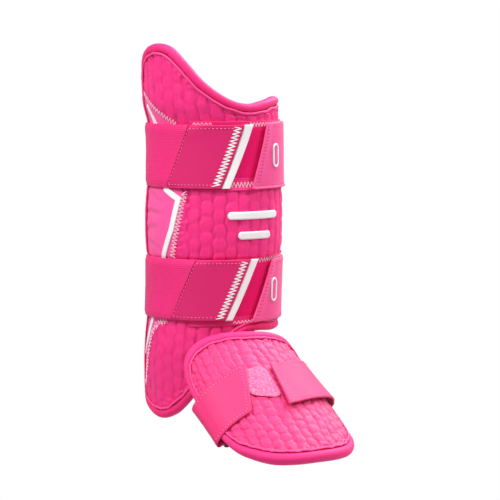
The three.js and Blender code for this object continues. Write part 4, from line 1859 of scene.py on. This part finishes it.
class StrapRow(NamedTuple):
    """One calf strap's places on the shell."""

    name: str
    height: float
    patch_low: float
    patch_high: float
    tab_start: Ends
    tab_end: Ends
    strip_end: Ends
    side_start: Ends
    side_end: Ends
    badge_turn: float
    width: float
    side_width: float
    side_drop: float
    patch_tilt: float
    pile_low: float
    pile_high: float
    patch_seams: tuple[PatchSeam, ...]


UPPER_STRAP = StrapRow(
    name="upper",
    height=60,
    patch_low=29.5,
    patch_high=91.5,
    tab_start=Ends(79, 57),
    tab_end=Ends(31, 10.5),
    strip_end=Ends(24, 2),
    side_start=Ends(-62, -62),
    side_end=Ends(6, -11),
    badge_turn=-23,
    width=57,
    side_width=59,
    side_drop=0,
    patch_tilt=0,
    pile_low=12,
    pile_high=6.5,
    patch_seams=(
        PatchSeam(0.28, 0.98, 0.04, 0.125),
        PatchSeam(0.02, 0.17, 0.93, 0.99),
        PatchSeam(0.46, 0.98, 0.915, 0.99),
    ),
)
LOWER_STRAP = StrapRow(
    name="lower",
    height=-60,
    patch_low=-91,
    patch_high=-31.5,
    tab_start=Ends(72.5, 50.5),
    tab_end=Ends(26, 4.5),
    strip_end=Ends(19.5, -3.2),
    side_start=Ends(-62, -62),
    side_end=Ends(3.5, -17.5),
    badge_turn=-23,
    width=55,
    side_width=55.5,
    side_drop=1.7,
    patch_tilt=-0.04,
    pile_low=7.5,
    pile_high=4.5,
    patch_seams=(PatchSeam(0.34, 0.98, 0.012, 0.062), PatchSeam(0.47, 0.98, 0.915, 0.99)),
)


@dataclass
class CalfStrap:
    """A wide elastic strap round the calf with its hook tabs, loop patch and stitches."""

    row: StrapRow
    surface: ShinSurface
    patch_turn: float = 57.0
    patch_thickness: float = 1.15
    patch_out: float = 0.05
    patch_edge: float = 0.5
    loops: Swell = Swell(0.16, 4.5, 11)
    pile_edge: float = 0.8
    border_drop: float = 0.4
    rest_gap: float = 0.2
    calf_tuck: float = 5.0
    band_thickness: float = 2.7
    band_step: float = 2.6
    tab_step: float = 0.3
    strip_step: float = 1.4
    side_corner: float = 2.5
    edge_pull: float = 1.1
    pulled_share: float = 0.09
    pull_fade: tuple[float, float] = (0.1, 0.3)
    sag_start: tuple[float, float] = (-80, -45)
    sag_end: tuple[float, float] = (20, 40)
    seam_turn: float = 0.25
    side_gap: float = 3.0
    side_gap_share: float = 0.22
    badge_half_length: float = 11.0
    badge_half_width: float = 5.0
    badge_thickness: float = 1.3
    badge_gap: float = 0.25
    badge_rim: float = 0.9
    stitch_inset: float = 3.2
    fine_thread: float = 0.55
    heavy_thread: float = 1.2
    heavy_pitch: float = 3.3
    heavy_along: tuple[float, float] = (0.82, 0.955)
    heavy_up: tuple[float, float] = (0.035, 0.965)
    heavy_above: float = 0.1
    patch_thread: float = 0.75
    patch_pitch: float = 3.5
    patch_above: float = -0.3

    def __post_init__(self) -> None:
        """Lays out the strap's stretches."""
        row = self.row
        half, side_half = row.width / 2, row.side_width / 2
        calf = ShinSurface(tuck=self.calf_tuck)
        ends = {"low": row.height - half, "high": row.height + half, "out": self.rest_out}
        side_ends = {"low": row.height - side_half, "high": row.height + side_half, "out": self.rest_out}
        band_start = row.side_start.moved(360 - self.seam_turn)
        band_end = row.tab_start.moved(self.seam_turn)
        self.band = StrapRun(
            calf,
            band_start,
            band_end,
            **ends,
            thickness=self.band_thickness,
            step=self.band_step,
            middle=self.sag,
            lift=self.band_lift,
        )
        self.front_tab = StrapRun(
            self.surface,
            row.tab_start,
            row.tab_end,
            **ends,
            thickness=self.band_thickness + self.tab_step,
            lift=self.front_lift,
        )
        strip_start = row.tab_end.moved(-self.seam_turn)
        self.end_strip = StrapRun(
            self.surface,
            strip_start,
            row.strip_end,
            **ends,
            thickness=self.band_thickness - self.tab_step,
            step=self.strip_step,
        )
        self.side_tab = StrapRun(
            self.surface,
            row.side_end,
            row.side_start,
            **side_ends,
            thickness=self.band_thickness,
            middle=self.sag,
            lift=self.side_lift,
            corner_start=self.side_corner,
        )
        patch_ends = Ends(self.patch_turn, self.patch_turn)
        self.patch = StrapRun(
            self.surface,
            patch_ends,
            Ends(-self.patch_turn, -self.patch_turn),
            row.patch_low,
            row.patch_high,
            level(self.patch_out),
            thickness=self.patch_thickness,
            edge=self.patch_edge,
            middle=lambda turn: self.row.patch_tilt * turn,
        )

    def rest_out(self, turn: Array) -> Array:
        """How far out the strap's underside rests, on the loop patch and as far out beside it."""
        return np.full(np.shape(turn), self.patch_thickness + self.rest_gap)

    def sag(self, turn: Array) -> Array:
        """How far the strap's middle line sags at the side tab, and less and less past it."""
        turn = half_turns(turn)
        return -self.row.side_drop * smooth(*self.sag_start, turn) * (1 - smooth(*self.sag_end, turn))

    def edge_lift(self, v: Array) -> Array:
        """The stretched elastic's two edges, which are pulled in onto the shell."""
        return -self.edge_pull * (1 - smooth(0.0, self.pulled_share, np.minimum(v, 1 - v)))

    def band_lift(self, u: Array, v: Array) -> Array:
        """The band's edges, pulled in from just past the side tab on."""
        return self.edge_lift(v) * smooth(*self.pull_fade, u)

    def front_lift(self, u: Array, v: Array) -> Array:
        """The front tab's edges, pulled in as far as the loop patch."""
        return self.edge_lift(v) * (1 - smooth(*self.pull_fade, u))

    def side_lift(self, u: Array, v: Array) -> Array:
        """How far the side tab's slanted end stands off the loop patch."""
        return self.side_gap * (1 - smooth(0.0, self.side_gap_share, u)) + 0 * v

    def build(self, shop: Workshop) -> None:
        """Adds every piece of the strap."""
        name = self.row.name
        node = f"{name}_strap_band"
        band = shop.add(node, self.band.mesh(ELASTIC_RIPPLES.at), Slot.ELASTIC, [ELASTIC, ELASTIC], [node])
        self.band.flat_size()
        loops = self.patch.mesh(self.pile)
        pile_low, pile_high = self.pile_ends()
        for face, (_, up) in face_lengths(loops):
            if face.material_index == 0 and not pile_low < up < pile_high:
                face.material_index = 2
        node = f"{name}_loop_patch"
        patch = shop.add(node, loops, Slot.LOOP, [LOOP_CLOTH, LOOP_CLOTH, ELASTIC], [node])
        self.patch.flat_size()
        for part, run, finish, slot in (
            ("front_tab", self.front_tab, TAB_CLOTH, Slot.ELASTIC),
            ("end_strip", self.end_strip, WHITE_TAPE, Slot.TAPE),
            ("side_tab", self.side_tab, LIT_SIDE_TAB_CLOTH, Slot.ELASTIC),
        ):
            node = f"{name}_{part}"
            shop.add(node, run.mesh(), slot, [finish, finish], [node])
        self.add_badge(shop)
        self.add_stitches(shop)

    def pile_ends(self) -> tuple[float, float]:
        """How far up the loop patch its brushed loops start and end."""
        return self.row.pile_low, self.row.patch_high - self.row.patch_low - self.row.pile_high

    def pile(self, along: Array, up: Array) -> Array:
        """The uneven height of brushed loops, above the patch's flat border."""
        low, high = (smooth(end - self.pile_edge, end + self.pile_edge, up) for end in self.pile_ends())
        inside = low - high
        return self.loops.at(along, up) * inside - self.border_drop * (1 - inside)

    def add_badge(self, shop: Workshop) -> None:
        """Adds the plain raised bar on the side tab."""
        out = self.patch_thickness + self.badge_gap + self.side_tab.thickness
        bar = RaisedBar(
            self.surface,
            self.row.badge_turn,
            self.row.height - self.row.side_drop,
            self.badge_half_length,
            self.badge_half_width,
            self.badge_thickness,
            out,
            upright=True,
        )
        node = f"{self.row.name}_tab_badge"
        shop.add(node, bar.mesh(self.badge_rim), Slot.TAPE, [WHITE_TAPE, LIT_SIDE_TAB_CLOTH], [node])

    def add_stitches(self, shop: Workshop) -> None:
        """Adds the dashed outlines of both tabs, the heavy zigzag and the patch's zigzags."""
        name = self.row.name
        fine = Stitching(thread=self.fine_thread)
        inset = self.stitch_inset / self.row.width
        self.front_tab.sew(fine, FRONT_TAB_ROWS, inset)
        self.side_tab.sew(fine, SIDE_TAB_ROWS, inset)
        shop.add(f"{name}_tab_stitches", fine.bm, Slot.LOOP, [PINK_THREAD, DENT_SHADE_THREAD])
        heavy = Stitching(thread=self.heavy_thread)
        corners = tuple((u, v) for u in self.heavy_along for v in self.heavy_up)
        self.front_tab.zigzag(heavy, corners, self.heavy_pitch, self.heavy_above)
        shop.add(f"{name}_zigzag_stitches", heavy.bm, Slot.TAPE, [WHITE_THREAD])
        light = Stitching(thread=self.patch_thread)
        for seam in self.row.patch_seams:
            corners = tuple((u, v) for v in (seam.low, seam.high) for u in (seam.start, seam.end))
            self.patch.zigzag(light, corners, self.patch_pitch, self.patch_above)
        shop.add(f"{name}_patch_stitches", light.bm, Slot.TAPE, [SEAM_THREAD])


@dataclass
class FootGuard:
    """The instep guard: quilted pad, rolled edge, loop patch and the strap under the foot."""

    surface: FootSurface
    pad_grid: GridSize = GridSize(174, 0.012, 166, 0.012)
    strap_width: float = 48.0
    strap_gap: float = 0.3
    strap_seam: float = 0.3
    band_step: float = 2.6
    under_out: float = 1.9
    under_fade: float = 12.0
    fold_turn: float = 103.0
    edge_turn: float = 88.0
    tuck_in: float = 10.0
    inner_along: float = 61.0
    inner_slant: float = 0.2
    outer_along: float = 71.0
    outer_slant: float = 0.27
    inner_end: Ends = Ends(34.5, 17.5)
    outer_end: Ends = Ends(4, -3)
    patch_along: float = 63.0
    patch_width: float = 34.0
    patch_start: float = 29.0
    patch_end: float = 2.0
    patch_slant: float = -0.12
    patch_fan: float = 0.016
    patch_corner: float = 8.0
    patch_thickness: float = 1.3
    patch_out: float = 0.05
    patch_edge: float = 0.7
    patch_step: float = 1.2
    patch_gap: float = 0.15
    patch_fade: float = 10.0
    loops: Swell = Swell(0.4, 5.0, 12)
    fibres: Swell = Swell(0.2, 2.2, 13)
    tab_lift: float = 2.0
    fold_lift: float = 6.0
    lift_power: float = 1.5
    lift_rise: tuple[float, float] = (0.25, 1.0)
    tuck_fade: tuple[float, float] = (0.0, 0.34)
    under_tuck: tuple[float, float] = (0.8, 1.0)
    under_fall: tuple[float, float] = (0.0, 0.3)
    stitch_inset: float = 3.0
    thread: float = 0.5

    def __post_init__(self) -> None:
        """Makes the pad and lays out the strap's stretches."""
        outline = Outline(FOOT_OUTLINE, self.surface.mm_per_degree)
        self.pad = Pad(
            "foot",
            self.surface,
            outline,
            FOOT_QUILT,
            LIT_FOOT_EDGE_CLOTH,
            binding_width=9.6,
            uneven_across=Swell(1.4, 24.0, 17),
            uneven_up=Swell(1.4, 24.0, 18),
            crinkles=Swell(0.18, 3.6, 20),
        )
        half = self.strap_width / 2
        fold = Ends(self.fold_turn, self.fold_turn)
        outer_fold = Ends(-self.fold_turn, -self.fold_turn)
        sides = {"low": -half, "high": half, "out": self.rest_out}
        self.inner_tab = StrapRun(
            self.surface, fold, self.inner_end, **sides, middle=self.inner_middle, lift=self.inner_lift
        )
        self.outer_tab = StrapRun(
            self.surface, self.outer_end, outer_fold, **sides, middle=self.outer_middle, lift=self.outer_lift
        )
        self.band = StrapRun(
            self.surface,
            outer_fold.moved(360 - self.strap_seam),
            fold.moved(self.strap_seam),
            **sides,
            middle=self.under_middle,
            lift=self.under_lift,
            step=self.band_step,
        )
        self.patch = StrapRun(
            self.surface,
            Ends(self.patch_start, self.patch_start),
            Ends(self.patch_end, self.patch_end),
            -self.patch_width / 2,
            self.patch_width / 2,
            level(self.patch_out),
            thickness=self.patch_thickness,
            edge=self.patch_edge,
            step=self.patch_step,
            corner_start=self.patch_corner,
            corner_end=self.patch_corner,
            middle=self.patch_middle,
            spread=self.patch_spread,
        )

    def rest_out(self, turn: Array) -> Array:
        """How far out the strap's underside rests: on the loop patch, or past it on the pad."""
        turn = half_turns(turn)
        on_patch = smooth(self.patch_end - self.patch_fade, self.patch_end, turn)
        on_patch = on_patch * (1 - smooth(self.patch_start, self.patch_start + self.patch_fade, turn))
        under = smooth(self.edge_turn - self.under_fade, self.edge_turn, np.abs(turn))
        return self.strap_gap + (self.patch_thickness + self.patch_gap) * on_patch + self.under_out * under

    def patch_middle(self, turn: Array) -> Array:
        """The loop patch's middle line."""
        return -(self.patch_along + self.patch_slant * (turn - (self.patch_start + self.patch_end) / 2))

    def patch_spread(self, turn: Array) -> Array:
        """How many times its middle's width the loop patch is wide."""
        return 1 - self.patch_fan * (turn - (self.patch_start + self.patch_end) / 2)

    def inner_middle(self, turn: Array) -> Array:
        """The inner tab's middle line."""
        return -(self.inner_along + self.inner_slant * turn)

    def outer_middle(self, turn: Array) -> Array:
        """The outer tab's middle line."""
        return -(self.outer_along + self.outer_slant * turn)

    def inner_lift(self, u: Array, v: Array) -> Array:
        """The inner tab's toe edge, which is pulled in under the foot at its fold."""
        return -self.tuck_in * (1 - v) * (1 - smooth(*self.tuck_fade, u))

    def outer_lift(self, u: Array, v: Array) -> Array:
        """The stiff outer tab's toe edge, which stands off the pad, most of all where it folds over."""
        rise = blend(self.tab_lift, self.fold_lift, smooth(*self.lift_rise, u))
        return (1 - v) ** self.lift_power * rise

    def under_lift(self, u: Array, v: Array) -> Array:
        """The elastic under the foot, which starts where the lifted tab folds over."""
        pulled = self.tuck_in * (1 - v) * smooth(*self.under_tuck, u)
        return (1 - v) ** self.lift_power * self.fold_lift * (1 - smooth(*self.under_fall, u)) - pulled

    def under_middle(self, turn: Array) -> Array:
        """The middle line of the elastic under the foot."""
        share = (turn - self.fold_turn) / (360 - 2 * self.fold_turn)
        return blend(self.inner_middle(self.fold_turn), self.outer_middle(-self.fold_turn), share)

    def build(self, shop: Workshop) -> None:
        """Adds every piece of the foot guard."""
        lines = self.pad_grid.lines()
        foam = self.pad.foam_wall(lines, *np.meshgrid(*lines), self.pad.quilt_drop)
        piece = shop.add("foot_pad", foam, Slot.QUILTED, [FOOT_CLOTH, SHADED_LINING_CLOTH], ["foot_pad"])
        self.pad.add_edges(shop)
        node = "foot_loop_patch"
        patch = shop.add(node, self.patch.mesh(self.pile), Slot.LOOP, [PALE_LOOP_CLOTH, LOOP_CLOTH], [node])
        self.patch.flat_size()
        node = "foot_strap_band"
        elastic = self.band.mesh(ELASTIC_RIPPLES.at)
        band = shop.add(node, elastic, Slot.WEBBING, [BLACK_WEBBING, BLACK_WEBBING], [node])
        tabs = ["foot_inner_tab", "foot_outer_tab"]
        self.band.flat_size()
        for node, run in zip(tabs, (self.inner_tab, self.outer_tab)):
            shop.add(node, run.mesh(), Slot.ELASTIC, [PALE_TAB_CLOTH, SHADED_LINING_CLOTH], [node])
        self.add_stitches(shop)

    def pile(self, along: Array, up: Array) -> Array:
        """The uneven height of the foot patch's brushed loops."""
        return self.loops.at(along, up) + self.fibres.at(along, up)

    def add_stitches(self, shop: Workshop) -> None:
        """Adds the dashed outlines of both foot tabs."""
        sewn = Stitching(thread=self.thread)
        inset = self.stitch_inset / self.strap_width
        self.inner_tab.sew(sewn, INNER_TAB_ROWS, inset)
        self.outer_tab.sew(sewn, OUTER_TAB_ROWS, inset)
        shop.add("foot_tab_stitches", sewn.bm, Slot.LOOP, [PINK_THREAD, DENT_SHADE_THREAD])


@dataclass
class FootLink:
    """Hidden webbing from the shin pad's inner face to the foot pad's."""

    shin: ShinSurface
    foot: FootSurface
    shin_turn: float = -4.0
    foot_turn: float = -22.0
    half_turn: float = 14.0
    shin_top: float = -64.0
    shin_low: float = -91.0
    below: float = -109.0
    foot_along: float = 36.0
    foot_end: float = 60.0
    depth: float = 8.9
    clear: float = 1.2
    thickness: float = 2.2
    grid: GridSize = GridSize(16, 0.05, 48, 0.02)

    def route(self, side: Array, deeper: float) -> list[Array]:
        """The points that one strand of the webbing passes, from the foot pad up.

        Args:
            side: Degrees to the inner side of the webbing's middle.
            deeper: Millimetres below its upper face.

        Returns:
            One array of points for each stop on the way.
        """
        flat = -(self.depth + deeper)
        over = flat - self.clear
        return [
            self.foot.point(self.foot_turn + side, -self.foot_end, flat),
            self.foot.point(self.foot_turn + side, -self.foot_along, flat),
            self.shin.point(self.shin_turn + side, self.below, over),
            self.shin.point(self.shin_turn + side, self.shin_low, over),
            self.shin.point(self.shin_turn + side, self.shin_top, flat),
        ]

    def build(self, shop: Workshop) -> None:
        """Adds the webbing, smooth through its stops."""
        across, up = self.grid.lines()
        side = blend(self.half_turn, -self.half_turn, across)
        faces = [self.curved(self.route(side, deeper), up) for deeper in (0.0, self.thickness)]
        steps = np.linalg.norm(np.diff(faces[0], axis=0), axis=-1).mean(1)
        along = np.concatenate([[0], np.cumsum(steps)])
        width = np.linalg.norm(faces[0][0, -1] - faces[0][0, 0])
        lengths = np.stack(np.broadcast_arrays(along[:, None], across[None, :] * width), -1)
        bm = SheetMesh(across, up).lay(faces[0], faces[1], lengths)
        shop.add("foot_link", bm, Slot.WEBBING, [BLACK_WEBBING, BLACK_WEBBING], ["foot_link"])

    @staticmethod
    def curved(stops: list[Array], up: Array) -> Array:
        """Smooth curves through stops, by row and column.

        Args:
            stops: Points of each column at each stop.
            up: Shares of the way from the first stop to the last.

        Returns:
            Points by row and column.
        """
        points = np.stack(stops)
        ends = np.stack([2 * points[0] - points[1], 2 * points[-1] - points[-2]])
        padded = np.concatenate([ends[:1], points, ends[1:]])
        place = up * (len(stops) - 1)
        near = np.minimum(place.astype(int), len(stops) - 2)
        share = (place - near)[:, None, None]
        first, second, third, fourth = (padded[near + offset] for offset in range(4))
        return curve_between((second, third), ((third - first) / 2, (fourth - second) / 2), share)


class LampRow(NamedTuple):
    """One soft round lamp that faces the guard: its direction in degrees, metres and watts."""

    name: str
    azimuth: float
    elevation: float
    away: float
    size: float
    power: float


LAMPS = (
    LampRow("key", -86, 46, 1.2, 0.5, 11),
    LampRow("second", 38, 38, 1.5, 0.5, 9.5),
    LampRow("top", -20, 70, 1.5, 0.9, 10),
    LampRow("rim", 100, 42, 1.9, 1.2, 28),
)


@dataclass
class Studio:
    """A pale floor, soft light and a camera at the photograph's angle."""

    azimuth: float = -37.0
    elevation: float = 5.0
    distance: float = 2400.0
    view_width: float = 460.0
    aim_right: float = 32.2
    aim_height: float = -29.0
    sensor: float = 36.0
    floor_height: float = -420.0
    floor_size: float = 9.0
    floor_grey: float = 0.42
    floor_roughness: float = 0.9
    far_end: float = 100.0
    world_light: float = 0.51
    seen_white: float = 1.0

    def back(self, azimuth: float, elevation: float) -> Vector:
        """The direction from the object towards a place that looks at it."""
        a, e = math.radians(azimuth), math.radians(elevation)
        return Vector((math.sin(a) * math.cos(e), -math.cos(a) * math.cos(e), math.sin(e)))

    def build(self) -> None:
        """Makes the camera, the floor and the lights."""
        scene = bpy.context.scene
        scene.view_settings.view_transform = "Standard"
        a = math.radians(self.azimuth)
        right = Vector((math.cos(a), math.sin(a), 0.0))
        aim = (right * self.aim_right + Vector((0, 0, self.aim_height))) * MM
        back = self.back(self.azimuth, self.elevation)
        lens = bpy.data.cameras.new("camera")
        lens.sensor_width = self.sensor
        lens.lens = self.sensor * self.distance / self.view_width
        lens.clip_end = self.far_end
        camera = bpy.data.objects.new("camera", lens)
        camera.location = aim + back * self.distance * MM
        camera.rotation_euler = (-back).to_track_quat("-Z", "Y").to_euler()
        scene.collection.objects.link(camera)
        scene.camera = camera
        self.add_world()
        self.add_floor()
        for row in LAMPS:
            self.add_light(row)

    def seen_or_lit(self, tree: Tree, lit: Socket, end: bpy.types.Node) -> None:
        """Shows a plain white surround to the camera and keeps a shader for the light it gives.

        Args:
            tree: The node tree of the world or the floor.
            lit: The shader that lights the guard.
            end: The tree's output node.
        """
        kind = "ShaderNodeBackground" if end.type == "OUTPUT_WORLD" else "ShaderNodeEmission"
        white = tree.nodes.new(kind)
        white.inputs["Color"].default_value = (1.0, 1.0, 1.0, 1.0)
        white.inputs["Strength"].default_value = self.seen_white
        path = tree.nodes.new("ShaderNodeLightPath")
        mixed = tree.nodes.new("ShaderNodeMixShader")
        tree.links.new(path.outputs["Is Camera Ray"], mixed.inputs["Fac"])
        tree.links.new(lit, mixed.inputs[1])
        tree.links.new(white.outputs[0], mixed.inputs[2])
        tree.links.new(mixed.outputs["Shader"], end.inputs["Surface"])

    def add_world(self) -> None:
        """Sets an even white surround."""
        world = bpy.data.worlds.new("surround")
        world.use_nodes = True
        nodes = world.node_tree.nodes
        surround = nodes["Background"]
        surround.inputs["Color"].default_value = (1.0, 1.0, 1.0, 1.0)
        surround.inputs["Strength"].default_value = self.world_light
        self.seen_or_lit(world.node_tree, surround.outputs["Background"], nodes["World Output"])
        bpy.context.scene.world = world

    def add_floor(self) -> None:
        """Lays a plain pale floor below the held-up guard."""
        bm = bmesh.new()
        place = Matrix.Translation((0, 0, self.floor_height * MM))
        bmesh.ops.create_grid(bm, x_segments=1, y_segments=1, size=self.floor_size, matrix=place)
        mesh = bpy.data.meshes.new("floor")
        bm.to_mesh(mesh)
        bm.free()
        paint = bpy.data.materials.new("floor_paint")
        paint.use_nodes = True
        nodes = paint.node_tree.nodes
        shader = nodes["Principled BSDF"]
        shader.inputs["Base Color"].default_value = (*[self.floor_grey] * 3, 1.0)
        shader.inputs["Roughness"].default_value = self.floor_roughness
        self.seen_or_lit(paint.node_tree, shader.outputs["BSDF"], nodes["Material Output"])
        mesh.materials.append(paint)
        floor = bpy.data.objects.new("floor", mesh)
        bpy.context.scene.collection.objects.link(floor)

    def add_light(self, row: LampRow) -> None:
        """Adds one lamp of the table."""
        lamp = bpy.data.lights.new(row.name, "AREA")
        lamp.shape = "DISK"
        lamp.size = row.size
        lamp.energy = row.power
        back = self.back(row.azimuth, row.elevation)
        light = bpy.data.objects.new(row.name, lamp)
        light.location = back * row.away
        light.rotation_euler = (-back).to_track_quat("-Z", "Y").to_euler()
        bpy.context.scene.collection.objects.link(light)


def main() -> None:
    """Builds the studio and every sub-assembly in order."""
    logging.basicConfig(level=logging.INFO, format="%(name)s %(message)s")
    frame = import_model()
    LOG.info("frame with %d nodes", len(frame["nodes"]))
    shop = Workshop(EffectShelf())
    Studio().build()
    shin, foot = ShinSurface(), FootSurface()
    ShinGuard(shin).build(shop)
    for row in (UPPER_STRAP, LOWER_STRAP):
        CalfStrap(row, shin).build(shop)
    FootGuard(foot).build(shop)
    FootLink(shin, foot).build(shop)


if __name__ == "__main__":
    main()
